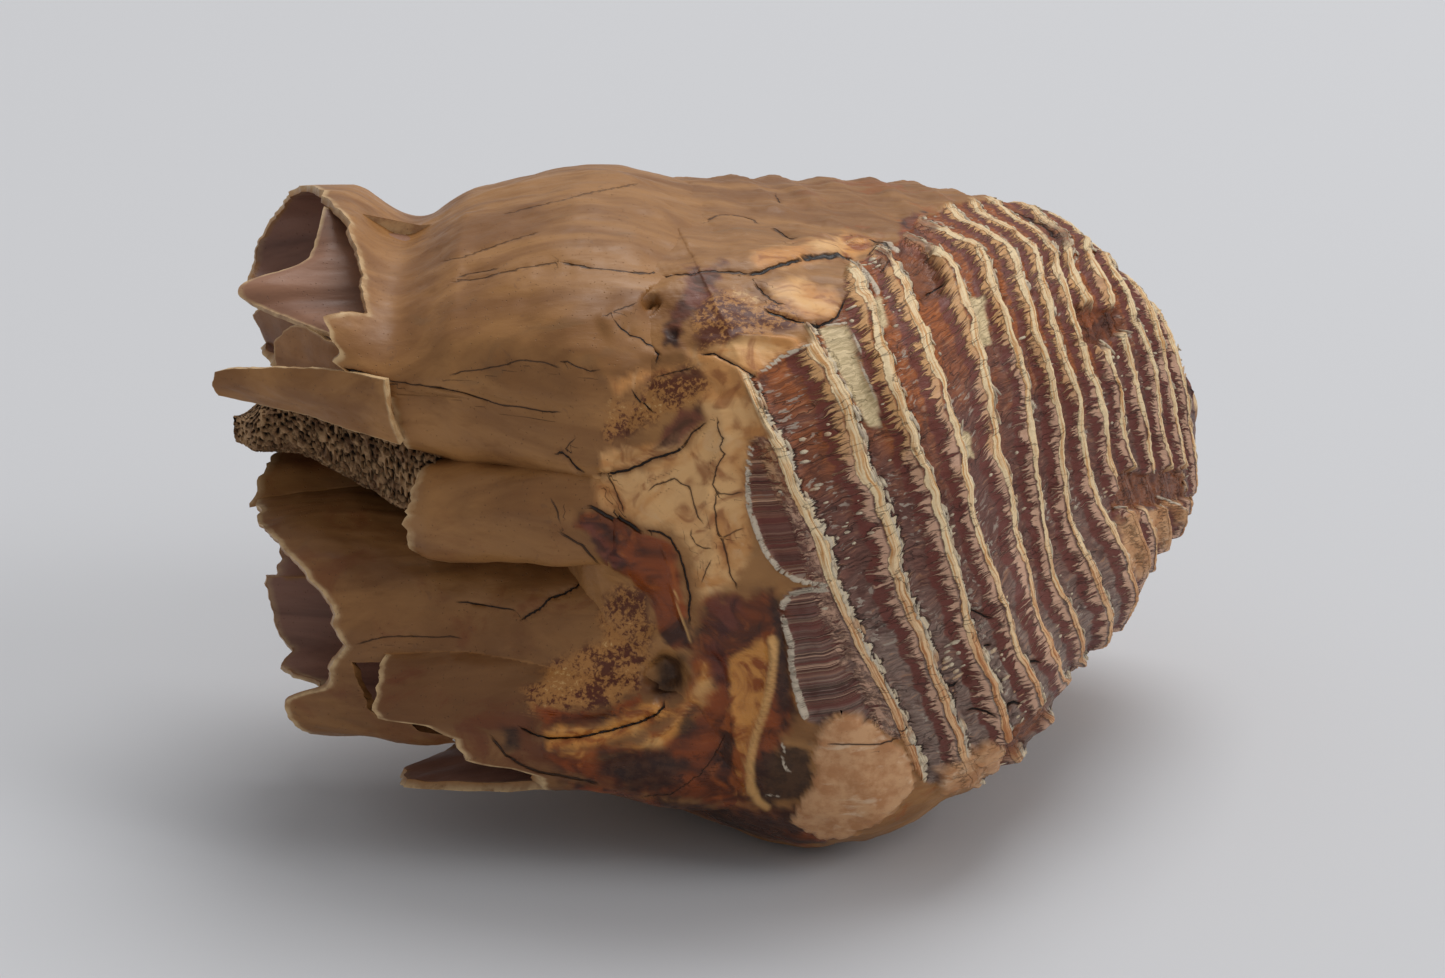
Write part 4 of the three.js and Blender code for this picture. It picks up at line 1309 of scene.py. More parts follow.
@dataclass
class Root:
    """A hollow root: its rings along X, and the X where its wall breaks off at each angle."""

    name: str
    stations: tuple[tuple[float, ...], ...]
    rim: tuple[tuple[float, float], ...]
    floor: float
    tone: float = 0.0
    squareness: tuple[float, float] = (4.4, 2.15)
    wall: float = 2.6
    rim_wall: float = 1.3
    step: float = 0.8 * DETAIL

    def ring(self, x: Array, angle: Array, grow: float | Array = 0.0) -> Array:
        """Points of the root's rings, grown by some mm.

        Args:
            x: places along X in mm.
            angle: angles in degrees.
            grow: how much wider than the plain root.

        Returns:
            Points in mm.
        """
        row = smooth_rows(self.stations, x)
        c, s = square_ring(np.radians(angle), *self.squareness)
        return np.stack([x, row[..., 1] + (row[..., 3] + grow) * c,
                         row[..., 2] + (row[..., 4] + grow) * s], axis=-1)

    def centre(self, x: Array) -> Array:
        """The middles of the root's rings."""
        middle = smooth_rows(self.stations, x)
        return np.stack([x, middle[..., 1], middle[..., 2]], -1)

    def sides(self) -> Array:
        """Evenly spaced angles, in degrees."""
        dense = np.linspace(0, 360, 1441)
        mid = self.stations[len(self.stations) // 2][0]
        ring = self.ring(np.full(dense.shape, float(mid)), dense)
        run = np.concatenate([[0.0], np.cumsum(np.linalg.norm(np.diff(ring, axis=0), axis=1))])
        count = int(run[-1] / self.step)
        return np.interp(np.arange(count) * run[-1] / count, run, dense)

    def ends(self, angles: Array) -> Array:
        """The X of the broken rim at each angle, with small chips."""
        rim = np.array(self.rim, float)
        keys = np.concatenate([rim[:, 0] - 360, rim[:, 0], rim[:, 0] + 360])
        ends = np.interp(angles, keys, np.tile(rim[:, 1], 3))
        chips = LUMPS.layered(np.stack([angles * 0.6, angles * 0, angles * 0 + len(self.name)], -1),
                              5.0, 3)
        return ends + 0.8 * chips

    def form(self) -> Piece:
        """The whole form of the root out to its broken rim."""
        angles = self.sides()
        ends = self.ends(angles)
        base = self.stations[0][0]
        length = base - float(np.mean(ends))
        shares = np.linspace(0, 1, int(length / self.step))
        x = base + (ends[None, :] - base) * shares[:, None]
        points = self.ring(x, np.broadcast_to(angles[None, :], x.shape))
        out = unit(points - self.centre(x))
        flow = points * np.array([0.14, 1.0, 1.0])
        lumps = (0.2 * LUMPS.layered(flow, 3.4, 2) + 0.6 * LUMPS.layered(points, 11.0, 2)
                 + 0.1 * LUMPS.layered(points, 2.6, 2))
        points = points + out * (lumps * smoothstep(shares, 0.0, 0.05)[:, None])[..., None]
        edge = smoothstep(ends[None, :] - x, -1.3, -0.2)
        return loft(self.name, points, uncracked(x.shape, 0.0, edge, self.tone))

    def marked(self, piece: Piece) -> None:
        """Gives a joined piece of the roots the marks of the near side."""
        mesh = piece.data
        count = len(mesh.vertices)
        place = np.empty(count * 3, np.float32)
        mesh.vertices.foreach_get("co", place)
        points = place.reshape(-1, 3).astype(float) / MM + MIDDLE
        turned = np.empty(count * 3, np.float32)
        mesh.vertex_normals.foreach_get("vector", turned)
        out = turned.reshape(-1, 3).astype(float)
        inside = np.empty(count, np.float32)
        mesh.attributes["inside"].data.foreach_get("value", inside)
        outer = 1 - smoothstep(inside.astype(float), 0.1, 0.4)
        facing = VIEW.facing(points, out) * outer - 0.4 * (1 - outer)
        marks, height = NearSide().read(points, facing, CRACKS + ROOT_CRACKS)
        carry(mesh, marks)
        mesh.vertices.foreach_set("co", to_frame(points + out * height[:, None]))
        mesh.update()

    def hollow(self) -> Piece:
        """The pulp space of the root, from its rounded floor to past the rim."""
        angles = self.sides()[:: 2]
        ends = self.ends(angles) - 6.0
        shares = np.concatenate([[0.0, 0.02, 0.05], np.linspace(0.1, 1.0, 40)])
        x = self.floor + (ends[None, :] - self.floor) * shares[:, None]
        wide = np.broadcast_to(angles[None, :], x.shape)
        wall = lerp(self.wall, self.rim_wall, np.clip(shares * 1.2, 0, 1))[:, None]
        points = self.ring(x, wide, -wall * np.ones(x.shape))
        centre = self.centre(x)
        size = np.interp(shares, [0.0, 0.02, 0.05, 0.1], [0.7, 0.88, 0.96, 1.0])[:, None, None]
        points = centre + (points - centre) * size
        out = unit(points - centre)
        lumps = 0.25 * LUMPS.layered(points * np.array([0.3, 1, 1]), 4.0, 2)
        points = points + out * lumps[..., None]
        past = (x - ends[None, :]) / 6.0
        edge = 0.7 * (1 - smoothstep(past, 1.0, 1.25))
        return loft(self.name + "_hollow", points, uncracked(x.shape, 1.0, edge, self.tone))


@dataclass
class Sheet:
    """A thin curved wall of dentine through lines of points."""

    name: str
    wall: float
    lines: tuple[tuple[tuple[float, float, float], ...], ...]
    inside: float = 0.0
    tone: float = 0.0
    chips: float = 0.5
    rows: int = 26
    columns: int = 60

    def build(self) -> Piece:
        """Makes the sheet, thinner towards its broken edges."""
        face = np.array(self.lines, float)
        for count in (self.rows, self.columns):
            key = np.arange(len(face), dtype=float)
            at = np.linspace(0, len(face) - 1, count)
            keyed = np.concatenate([key[:, None], face.reshape(len(face), -1)], axis=1)
            face = smooth_rows(keyed, at)[:, 1:].reshape(count, -1, 3).transpose(1, 0, 2)
        face = face.transpose(1, 0, 2)
        out = unit(np.cross(np.gradient(face, axis=1), np.gradient(face, axis=0)))
        u = np.linspace(0, 1, self.columns)[:, None] * np.ones((1, self.rows))
        v = np.linspace(0, 1, self.rows)[None, :] * np.ones((self.columns, 1))
        rim = np.minimum(np.minimum(u, 1 - u) * 3.0, np.minimum(v, 1 - v) * 2.0)
        thick = self.wall * (0.55 + 0.45 * smoothstep(rim, 0.0, 0.25))
        middle = face.reshape(-1, 3).mean(0)
        pull = unit(face - middle) * (self.chips * LUMPS.layered(face, 2.2, 3)
                                      * (1 - smoothstep(rim, 0.0, 0.2)))[..., None]
        face = face + pull + out * (0.2 * LUMPS.layered(face * [0.3, 1, 1], 3.0, 2))[..., None]
        back = face - out * thick[..., None]
        rings = np.concatenate([face, back[:, ::-1]], axis=1)
        edge = 1 - smoothstep(rim, 0.0, 0.06)
        edges = np.concatenate([edge, edge[:, ::-1]], axis=1)
        return loft(self.name, rings, uncracked(edges.shape, self.inside, edges, self.tone))


UPPER_ROOT = Root(
    "upper_root",
    stations=((6, 4, 79, 49, 22.5), (-21, 1, 86, 50, 22.5), (-45, 3, 86, 45, 18),
              (-56, 3, 84.7, 41.5, 13.4), (-68, 4, 90, 41, 14.2), (-92, 5, 89.5, 41, 12.5)),
    rim=((0, -85.5), (18, -82.3), (30, -80.8), (42, -78.3), (58, -75), (70, -72.5), (80, -70.5),
         (90, -67.5), (100, -65), (115, -62.5), (133, -60.5), (140, -60), (147, -64),
         (155, -66.5), (165, -65), (173, -64), (181, -65.5), (184, -55.5), (195, -55.3),
         (206, -54.5), (218, -53.3), (229, -52.5), (236, -60), (248, -72), (262, -80),
         (275, -83), (290, -81), (305, -87), (318, -89.5), (340, -88)),
    floor=-36, step=0.62 * DETAIL)
MIDDLE_ROOT = Root(
    "middle_root",
    stations=((-5, 2, 46, 24, 18), (-35, 2, 46.5, 18, 15), (-60, 1, 46.5, 16.5, 14.5),
              (-90, 0, 46.5, 16, 14.5)),
    rim=((0, -81), (30, -80), (60, -79), (85, -78.5), (105, -80), (125, -82), (150, -83.5),
         (180, -83), (210, -83), (240, -83), (270, -82), (300, -82), (330, -82)),
    floor=-50, tone=0.5)
LOWER_ROOT = Root(
    "lower_root",
    stations=((8, -14, 35, 36, 26), (-21, -16, 36.5, 35, 22.5), (-45, -16.5, 37, 27.5, 20),
              (-68, -16.5, 38, 24.5, 19.5), (-90, -15, 36, 23, 19)),
    rim=((0, -84.3), (20, -84.3), (40, -84.3), (65, -83), (90, -81.5), (108, -80.5), (120, -77.5),
         (134, -73), (145, -70), (156, -66), (170, -66), (176, -64), (182, -66), (190, -67),
         (199, -68), (206, -75.5), (213, -75.2), (222, -72.5), (235, -70), (252, -69), (270, -73),
         (285, -72), (296, -78), (303, -81), (312, -79.5), (325, -82.7), (342, -83.7)),
    floor=-42, tone=0.6, step=0.55 * DETAIL)
FRONT_ROOT = Root(
    "front_root",
    stations=((14, -31, 31, 20, 20), (-8, -33, 29, 21, 17.5), (-22, -34, 29.5, 20.5, 14.5),
              (-40, -34, 28, 18.5, 14), (-64, -33, 25.3, 17.5, 14.3)),
    rim=((0, -48), (30, -51), (60, -54), (90, -56), (115, -57.5), (140, -58.5), (158, -59),
         (163, -58), (171, -50), (183, -45), (198, -43.5), (212, -31), (225, -30), (236, -40),
         (246, -51), (254, -56), (272, -56), (286, -50), (305, -44), (335, -45)),
    floor=-20, tone=1.0, step=0.5 * DETAIL)
STUB_ROOT = Root(
    "stub_root",
    stations=((-5, -34, 66, 12, 12), (-25, -40, 65.5, 10, 9.5), (-42, -37.5, 63.8, 9, 8.6),
              (-49.5, -36.5, 63, 8.2, 7.8), (-53.5, -36, 62.6, 6, 5.8)),
    rim=((0, -52.5), (90, -51), (180, -53.5), (270, -52)),
    floor=0, tone=0.25)

SEPTUM = Sheet("septum", 1.5, (
    ((-71, 9, 102.6), (-72, 1, 97.5), (-74, -3, 95.5), (-84, -8, 93), (-80, -11, 90),
     (-67, -21, 88)),
    ((-55, 9, 97), (-55, 1, 95.5), (-55, -3, 94), (-56, -8, 92), (-56, -12, 90),
     (-55, -23, 88)),
    ((-34, 9, 101), (-34, 1, 96), (-34, -4, 93), (-34, -9, 91), (-34, -15, 89),
     (-34, -24, 87))), inside=0.75, chips=0.2)
FAR_SCRAP = Sheet("far_scrap", 1.5, (
    ((-84.5, 9, 83), (-79.5, 4, 87), (-75, 0, 84.5)),
    ((-81, 7, 76.5), (-78, 3, 76.5), (-74, 0, 76.5))), inside=0.35, tone=0.6, rows=14, columns=24)
NEAR_SCRAP = Sheet("near_scrap", 1.5, (
    ((-78, -12, 84.5), (-73.5, -16, 89), (-66, -23, 87.5), (-58, -27, 86)),
    ((-78, -13, 76.5), (-73, -16, 76.5), (-66, -21, 75), (-58, -25, 73.5))),
    inside=0.15, rows=16, columns=36)
SPLINTER = Sheet("root_splinter_shard", 2.2, (
    ((-86.4, -26.6, 83.9), (-83.5, -28, 84.8), (-77, -31, 86), (-70, -34, 87),
     (-63, -37.5, 87.6), (-56.1, -41.5, 87.4)),
    ((-87, -26.5, 81.5), (-83.5, -28, 82), (-77, -31.2, 82.6), (-70, -34.6, 82.6),
     (-63, -38.3, 82.4), (-55.4, -42.2, 81.6)),
    ((-86.2, -25.6, 79.3), (-82.5, -25.5, 78.5), (-77, -28, 78), (-70, -31.5, 77.6),
     (-63, -35.4, 76.6), (-53.8, -39.8, 75.4))), chips=0.25, rows=40, columns=110)


@dataclass
class FarRoots:
    """Short broken rootlets on the far side: x, z, length and radius of each, in mm."""

    places: tuple[tuple[float, float, float, float], ...] = (
        (-14, 66, 14, 13), (-10, 27, 14, 11), (18, 66, 13, 11), (21, 30, 13, 9), (44, 66, 11, 8))
    start: float = 58.0
    step: float = 0.7 * DETAIL

    def rootlet(self, x: float, z: float, length: float, radius: float) -> Piece:
        """One rootlet, with the pulp space open at its broken end.

        Args:
            x: its middle along X.
            z: its middle's height.
            length: how far it stands out.
            radius: its radius.

        Returns:
            The object, without the hollow in its end.
        """
        sides = int(2 * math.pi * radius / self.step)
        angle = np.linspace(0, 2 * math.pi, sides + 1)[None, :-1]
        share = np.linspace(-0.3, 1.0, int(1.3 * length / self.step))[:, None]
        profile = ((-0.3, 1.65), (0.25, 1.3), (0.7, 1.08), (1.0, 0.94))
        size = smooth_rows(profile, share[:, 0])[:, 1][:, None]
        rough = 1 + 0.05 * np.sin(2 * angle + x) + 0.03 * np.cos(5 * angle + z)
        wide = radius * size * rough
        points = np.stack([x + wide * np.cos(angle), self.start + length * share * rough,
                           z + 0.85 * wide * np.sin(angle)], -1)
        out = unit(np.stack([np.cos(angle), 0 * angle, np.sin(angle)], -1)) + np.zeros(points.shape)
        flow = LUMPS.layered(points * np.array([1.0, 0.2, 1.0]), 2.6, 3)
        points = points + out * (0.4 * flow)[..., None]
        chips = LUMPS.layered(points, 3.0, 2) * smoothstep(share, 0.9, 1.0)
        points[..., 1] += 1.1 * chips
        edge = smoothstep(share, 0.94, 1.0)
        return loft("far_rootlet", points, uncracked(points.shape[:2], 0.0, edge, 0.5))

    def pulp(self, x: float, z: float, length: float, radius: float) -> Piece:
        """The hollow in a rootlet's end."""
        return ball("pulp", (x, self.start + length, z), (0.55 * radius, 4.0, 0.42 * radius),
                    {"inside": 1.0, "tone": 0.5, "crack_side": NO_CRACK})

    def build(self) -> Piece:
        """Makes the rootlets as one piece."""
        piece = None
        for place in self.places:
            one = self.rootlet(*place)
            combine(one, self.pulp(*place), "DIFFERENCE")
            if piece is None:
                piece = one
            else:
                combine(piece, one, "UNION")
        piece.name = "far_rootlets"
        return piece


@dataclass
class JawBone:
    """Spongy jaw bone that has stayed between the roots, with a hollow at its root end."""

    stations: tuple[tuple[float, ...], ...] = (
        (-85.5, -4, 64.5, 6, 2.4), (-82, -3, 66, 14, 3.8), (-79.5, -3, 68, 17, 5.5),
        (-72, -3, 68.5, 20, 6.5), (-60, -6, 66, 23, 8.5), (-50, -12, 65, 25, 9),
        (-44, -14, 66, 19, 5))
    rise: float = 5.0  # how much higher its near edge lies
    hollow_middle: tuple[float, float, float] = (-84, -7, 58)
    hollow_half: tuple[float, float, float] = (12, 13, 7)
    step: float = 0.34 * DETAIL

    def build(self) -> Piece:
        """Makes the bone with its pores pressed into it."""
        base = Root("jaw_bone_sponge", self.stations, ((0, -86), (180, -86)), 0, step=self.step)
        angles = base.sides()
        x = np.linspace(-44, -86, int(42 / self.step))[:, None] * np.ones((1, len(angles)))
        wide = np.broadcast_to(angles[None, :], x.shape)
        points = base.ring(x, wide)
        out = unit(points - base.centre(x))
        points[..., 2] += self.rise * np.maximum(0.0, -np.cos(np.radians(wide)))
        wide_lumps = LUMPS.layered(points, 7.0, 2)
        near, second = LUMPS.cells(points * np.array([0.8, 1.0, 0.9]), 0.95)
        small, small_second = LUMPS.cells(points + 40.0, 0.62)
        walls = smoothstep(second - near, 0.08, 0.34)
        holes = smoothstep(small_second - small, 0.05, 0.4)
        depth = 1.5 * walls + 0.45 * holes * (1 - 0.5 * walls) + 0.6 * wide_lumps
        points = points + out * (0.75 - depth)[..., None]
        # this number darkens the bottoms of the pressed-in pores: painted shade
        values = {"pore_shade": walls * 0.75 + holes * 0.25}
        return loft("jaw_bone_sponge", points, values)


def ball(name: str, middle: tuple[float, ...], half: tuple[float, ...],
         values: dict[str, float]) -> Piece:
    """A closed rounded form that carries the same number all over for each attribute.

    Args:
        name: the object's name.
        middle: its middle in mm.
        half: half its size in mm.
        values: the number for each attribute.

    Returns:
        The object.
    """
    around = np.linspace(0, 2 * math.pi, 49)[:-1]
    up = np.linspace(-0.995, 0.995, 30)
    flat = np.sqrt(1 - up ** 2)
    rings = np.stack([flat[:, None] * np.cos(around), flat[:, None] * np.sin(around),
                      up[:, None] * np.ones(48)], -1)
    rough = 1 + 0.06 * LUMPS.layered(rings * 8.0, 4.0, 3)
    rings = rings * rough[..., None] * np.array(half) + np.array(middle)
    return loft(name, rings, {key: np.full(rings.shape[:2], number)
                              for key, number in values.items()})


def linear(red: float, green: float, blue: float) -> tuple[float, float, float, float]:
    """A colour of 0 to 255 as Blender's linear colour."""
    parts = [(c / 255 / 12.92 if c / 255 <= 0.04045 else ((c / 255 + 0.055) / 1.055) ** 2.4)
             for c in (red, green, blue)]
    return (*parts, 1.0)


class Wires:
    """Short calls that place and join the nodes of one tree."""

    def __init__(self, tree: bpy.types.NodeTree) -> None:
        """Starts on a tree."""
        self.tree = tree

    def node(self, kind: str, **settings: object) -> bpy.types.Node:
        """A node of a kind with its settings."""
        made = self.tree.nodes.new(kind)
        for key, value in settings.items():
            setattr(made, key, value)
        return made

    def feed(self, socket: Socket, value: object) -> None:
        """Joins a socket to another socket, or sets its own value."""
        if isinstance(value, Socket):
            self.tree.links.new(value, socket)
        elif value is not None:
            socket.default_value = value

    def fed(self, kind: str, inputs: dict[str | int, object],
            **settings: object) -> Sockets:
        """The outputs of a new node of a kind, with its inputs fed and its settings made."""
        made = self.node(kind, **settings)
        for key, value in inputs.items():
            self.feed(made.inputs[key], value)
        return made.outputs

    def vectors(self, operation: str, inputs: dict[str | int, object]) -> Socket:
        """One sum of vectors."""
        return self.fed("ShaderNodeVectorMath", inputs, operation=operation)[0]

    def math(self, operation: str, *values: object) -> Socket:
        """One sum."""
        return self.fed("ShaderNodeMath", dict(enumerate(values)), operation=operation)[0]

    def times(self, a: object, b: object) -> Socket:
        """a times b."""
        return self.math("MULTIPLY", a, b)

    def plus(self, a: object, b: object) -> Socket:
        """a plus b."""
        return self.math("ADD", a, b)

    def less(self, a: object, b: object) -> Socket:
        """a less b."""
        return self.math("SUBTRACT", a, b)

    def times_plus(self, a: object, b: object, c: object) -> Socket:
        """a times b, plus c."""
        return self.math("MULTIPLY_ADD", a, b, c)

    def band(self, value: object, low: object, high: object, start: float = 0.0,
             end: float = 1.0) -> Socket:
        """A smooth step from start at low to end at high.

        Args:
            value: what is read.
            low: where the step starts.
            high: where it ends.
            start: the value up to low.
            end: the value from high on.

        Returns:
            The value.
        """
        made = self.node("ShaderNodeMapRange", interpolation_type="SMOOTHSTEP")
        for socket, number in zip(made.inputs[:5], (value, low, high, start, end)):
            self.feed(socket, number)
        return made.outputs[0]

    def mix(self, share: object, under: object, over: object) -> Socket:
        """The colour between two colours, each a socket or red, green and blue up to 255."""
        under, over = (linear(*c) if isinstance(c, tuple) else c for c in (under, over))
        return self.fed("ShaderNodeMix", {0: share, 6: under, 7: over}, data_type="RGBA")[2]

    def over(self, colour: object, mask: object, share: object, paint: object) -> Socket:
        """A colour with a share of paint over it where the mask is."""
        return self.mix(self.times(mask, share), colour, paint)

    def vector(self, x: object, y: object, z: object) -> Socket:
        """A vector of three numbers."""
        return self.fed("ShaderNodeCombineXYZ", {0: x, 1: y, 2: z})[0]

    def scaled(self, vector: object, by: tuple[float, float, float]) -> Socket:
        """A vector stretched along its axes."""
        return self.vectors("MULTIPLY", {0: vector, 1: by})

    def noise(self, vector: object, scale: object, detail: float = 3.0, roughness: float = 0.55,
              distortion: float = 0.0) -> Socket:
        """Cloudy noise from 0 to 1.

        Args:
            vector: where it is read.
            scale: its scale.
            detail: how many finer layers it has.
            roughness: how strong they are.
            distortion: how much it is stirred.

        Returns:
            The noise.
        """
        return self.fed("ShaderNodeTexNoise", {
            "Vector": vector, "Scale": scale, "Detail": detail, "Roughness": roughness,
            "Distortion": distortion}, noise_dimensions="3D")[0]

    def cells(self, vector: object, scale: object) -> Socket:
        """The distance to the nearest middle in a pattern of cells."""
        return self.fed("ShaderNodeTexVoronoi", {"Vector": vector, "Scale": scale},
                        feature="F1")["Distance"]

    def attribute(self, name: str) -> Socket:
        """A number that the mesh carries."""
        return self.node("ShaderNodeAttribute", attribute_name=name).outputs["Fac"]

    def group(self, tree: bpy.types.NodeTree, **values: object) -> Sockets:
        """The outputs of a node group, with its inputs fed by name."""
        inputs = {key.replace("_", " ").capitalize(): value for key, value in values.items()}
        return self.fed("ShaderNodeGroup", inputs, node_tree=tree)


def new_group(name: str, inputs: dict[str, float], outputs: tuple[str, ...],
              vector: bool = False) -> tuple[Wires, Sockets, Sockets]:
    """An empty shader node group.

    Args:
        name: the group's name.
        inputs: names and first values of its number inputs.
        outputs: names of its number outputs.
        vector: True for a Vector input before the others.

    Returns:
        The wires of its tree, what it is given and what it gives.
    """
    tree = bpy.data.node_groups.new(name, "ShaderNodeTree")
    if vector:
        tree.interface.new_socket("Vector", in_out="INPUT", socket_type="NodeSocketVector")
    for key, value in inputs.items():
        socket = tree.interface.new_socket(key, in_out="INPUT", socket_type="NodeSocketFloat")
        socket.default_value = value
    for key in outputs:
        tree.interface.new_socket(key, in_out="OUTPUT", socket_type="NodeSocketFloat")
    wires = Wires(tree)
    return wires, wires.node("NodeGroupInput").outputs, wires.node("NodeGroupOutput").inputs


class Effects:
    """The effects that several finishes share."""

    def __init__(self) -> None:
        """Builds each group once."""
        self.fibres = self._fibres()
        self.crack = self._crack()
        self.plates = self._plates()
        self.stain = self._stain()

    def _fibres(self) -> bpy.types.NodeTree:
        """Grain that runs along X, in mm, with broader bands and fine pores."""
        w, given, gives = new_group("fibres", {"Stretch": 0.08, "Scale": 0.5},
                                    ("Fine", "Broad", "Pores"), vector=True)
        apart = w.node("ShaderNodeSeparateXYZ")
        w.feed(apart.inputs[0], given["Vector"])
        x = w.times(apart.outputs[0], given["Stretch"])
        long = w.vector(x, apart.outputs[1], apart.outputs[2])
        w.feed(gives["Fine"], w.noise(long, given["Scale"], 6.0, 0.62, 0.3))
        broad = w.times(given["Scale"], 0.22)
        w.feed(gives["Broad"], w.noise(long, broad, 4.0, 0.55, 0.8))
        pores = w.cells(given["Vector"], 1.1)
        w.feed(gives["Pores"], w.band(pores, 0.02, 0.16, 1.0, 0.0))
        return w.tree

    def _crack(self) -> bpy.types.NodeTree:
        """The dark line of a crack from its signed distance and how much of it is left."""
        w, given, gives = new_group("crack", {"Side": 5.0, "Near": 0.0}, ("Line", "Shade"))
        gap = w.math("ABSOLUTE", given["Side"])
        line = w.band(gap, 0.35, 1.0, 1.0, 0.0)
        shade = w.band(gap, 0.6, 3.2, 1.0, 0.0)
        w.feed(gives["Line"], w.times(line, given["Near"]))
        w.feed(gives["Shade"], w.times(shade, given["Near"]))
        return w.tree

    def _stain(self) -> bpy.types.NodeTree:
        """Cloudy stains with sharper edges, by a threshold."""
        w, given, gives = new_group("stain", {"Scale": 0.12, "Cover": 0.5, "Edge": 0.08},
                                    ("Mask",), vector=True)
        cloud = w.noise(given["Vector"], given["Scale"], 5.0, 0.6, 1.2)
        low = w.less(1.0, given["Cover"])
        high = w.plus(low, given["Edge"])
        w.feed(gives["Mask"], w.band(cloud, low, high))
        return w.tree

    def _plates(self) -> bpy.types.NodeTree:
        """The pattern of the enamel plates across the grinding face."""
        w, given, gives = new_group(
            "plates", {"Plate": 0.0, "Along": 0.0, "Pitch": 9.0, "Wider": 0.0},
            ("Crest", "Lines", "Comb", "Flank", "Fringe", "Groove_and_shadow", "Grain", "Fleck", "Split"))
        plate, along, pitch = (given[k] for k in ("Plate", "Along", "Pitch"))
        number = w.math("ROUND", plate)
        share = w.less(plate, number)
        wide = w.math("POWER", w.math("DIVIDE", PLATE_STEP, w.math("MAXIMUM", pitch, 3.0)), 0.7)
        d = w.times(w.times(share, pitch), wide)
        across = w.times(plate, 9.0)

        def streaks(x: float, y: float, depth: float, *rest: float) -> Socket:
            """Noise drawn out along or across the ridges."""
            return w.noise(w.vector(w.times(along, x), w.times(across, y), depth), 1.0, *rest)

        warp = streaks(0.35, 0.3, 3.0, 2.0)
        along = w.times_plus(w.less(warp, 0.5), 2.4, along)
        lane = w.times(number, 5.3)
        width = w.noise(w.vector(along, lane, 1.0), 0.16, 2.0)
        ragged = w.noise(w.vector(along, lane, 9.0), 1.3, 3.0, 0.6)
        edge = w.times_plus(width, 1.5, 0.02)
        edge = w.plus(edge, w.times(width, given["Wider"]))
        edge = w.times_plus(w.less(ragged, 0.5), 0.7, edge)
        off = w.math("ABSOLUTE", w.less(d, 0.1))
        crest = w.band(off, w.less(edge, 0.12), w.plus(edge, 0.14), 1.0, 0.0)
        lines = w.noise(w.vector(w.times(along, 0.14), w.times(d, 2.6), lane), 1.0, 3.0, 0.6)
        teeth = streaks(2.7, 0.22, 7.0, 4.0, 0.62, 0.3)
        patchy = w.noise(w.vector(along, lane, 5.0), 0.25, 3.0, 0.6)
        start = w.times_plus(patchy, -4.6, -1.2)
        start = w.less(start, w.band(plate, 0.2, -0.1, 0.0, 4.0))
        level = w.band(d, start, -0.9, 0.66, 0.36)
        bare = streaks(0.4, 0.3, 13.0, 3.0, 0.6)
        level = w.times_plus(w.less(bare, 0.5), 0.7, level)
        comb = w.band(teeth, w.less(level, 0.07), w.plus(level, 0.08))
        flank = w.times(w.band(d, w.less(start, 0.6), start), w.band(d, -1.2, -0.7, 1.0, 0.0))
        dusty = streaks(0.5, 0.5, 19.0, 4.0, 0.65)
        first = w.times(w.band(plate, 0.1, -0.1), w.band(dusty, 0.38, 0.58, 0.95, 0.1))
        flank = w.times(flank, w.less(1.0, first))
        torn = w.noise(w.vector(along, lane, 2.0), 0.6, 4.0, 0.7)
        reach = w.band(torn, 0.36, 0.66, 0.95, 2.3)
        fringe = w.times(w.band(d, 0.5, 0.8), w.band(w.less(d, reach), 0.0, 0.16, 1.0, 0.0))
        # painted shadow: a thin dark band just past the ragged fringe of each crest; the bump also
        # sinks it a little
        past = w.less(d, reach)
        gap = w.times(w.band(past, 0.0, 0.12), w.band(past, 0.2, 0.7, 1.0, 0.0))
        gap = w.times(gap, w.band(d, 0.7, 0.9))
        grain = streaks(2.1, 0.33, 11.0, 4.0, 0.62, 0.3)
        specks = streaks(1.25, 0.5, 17.0, 3.0, 0.6)
        where = streaks(0.09, 0.12, 31.0, 3.0, 0.6)
        fleck = w.times(w.band(specks, 0.56, 0.62), w.band(where, 0.46, 0.6))
        split = streaks(0.3, 0.07, 23.0, 3.0, 0.6)
        split = w.band(w.math("ABSOLUTE", w.less(split, 0.42)), 0.003, 0.01, 1.0, 0.0)
        for key, value in (("Crest", crest), ("Lines", lines), ("Comb", comb), ("Flank", flank),
                           ("Fringe", fringe), ("Groove_and_shadow", gap), ("Grain", grain),
                           ("Fleck", fleck), ("Split", split)):
            w.feed(gives[key], value)
        return w.tree


@dataclass(frozen=True)
class Shine:
    """The numbers of a finish that are the same all over it."""

    specular: float = 0.45
    coat: float = 0.0
    coat_roughness: float = 0.25
    ior: float = 1.5


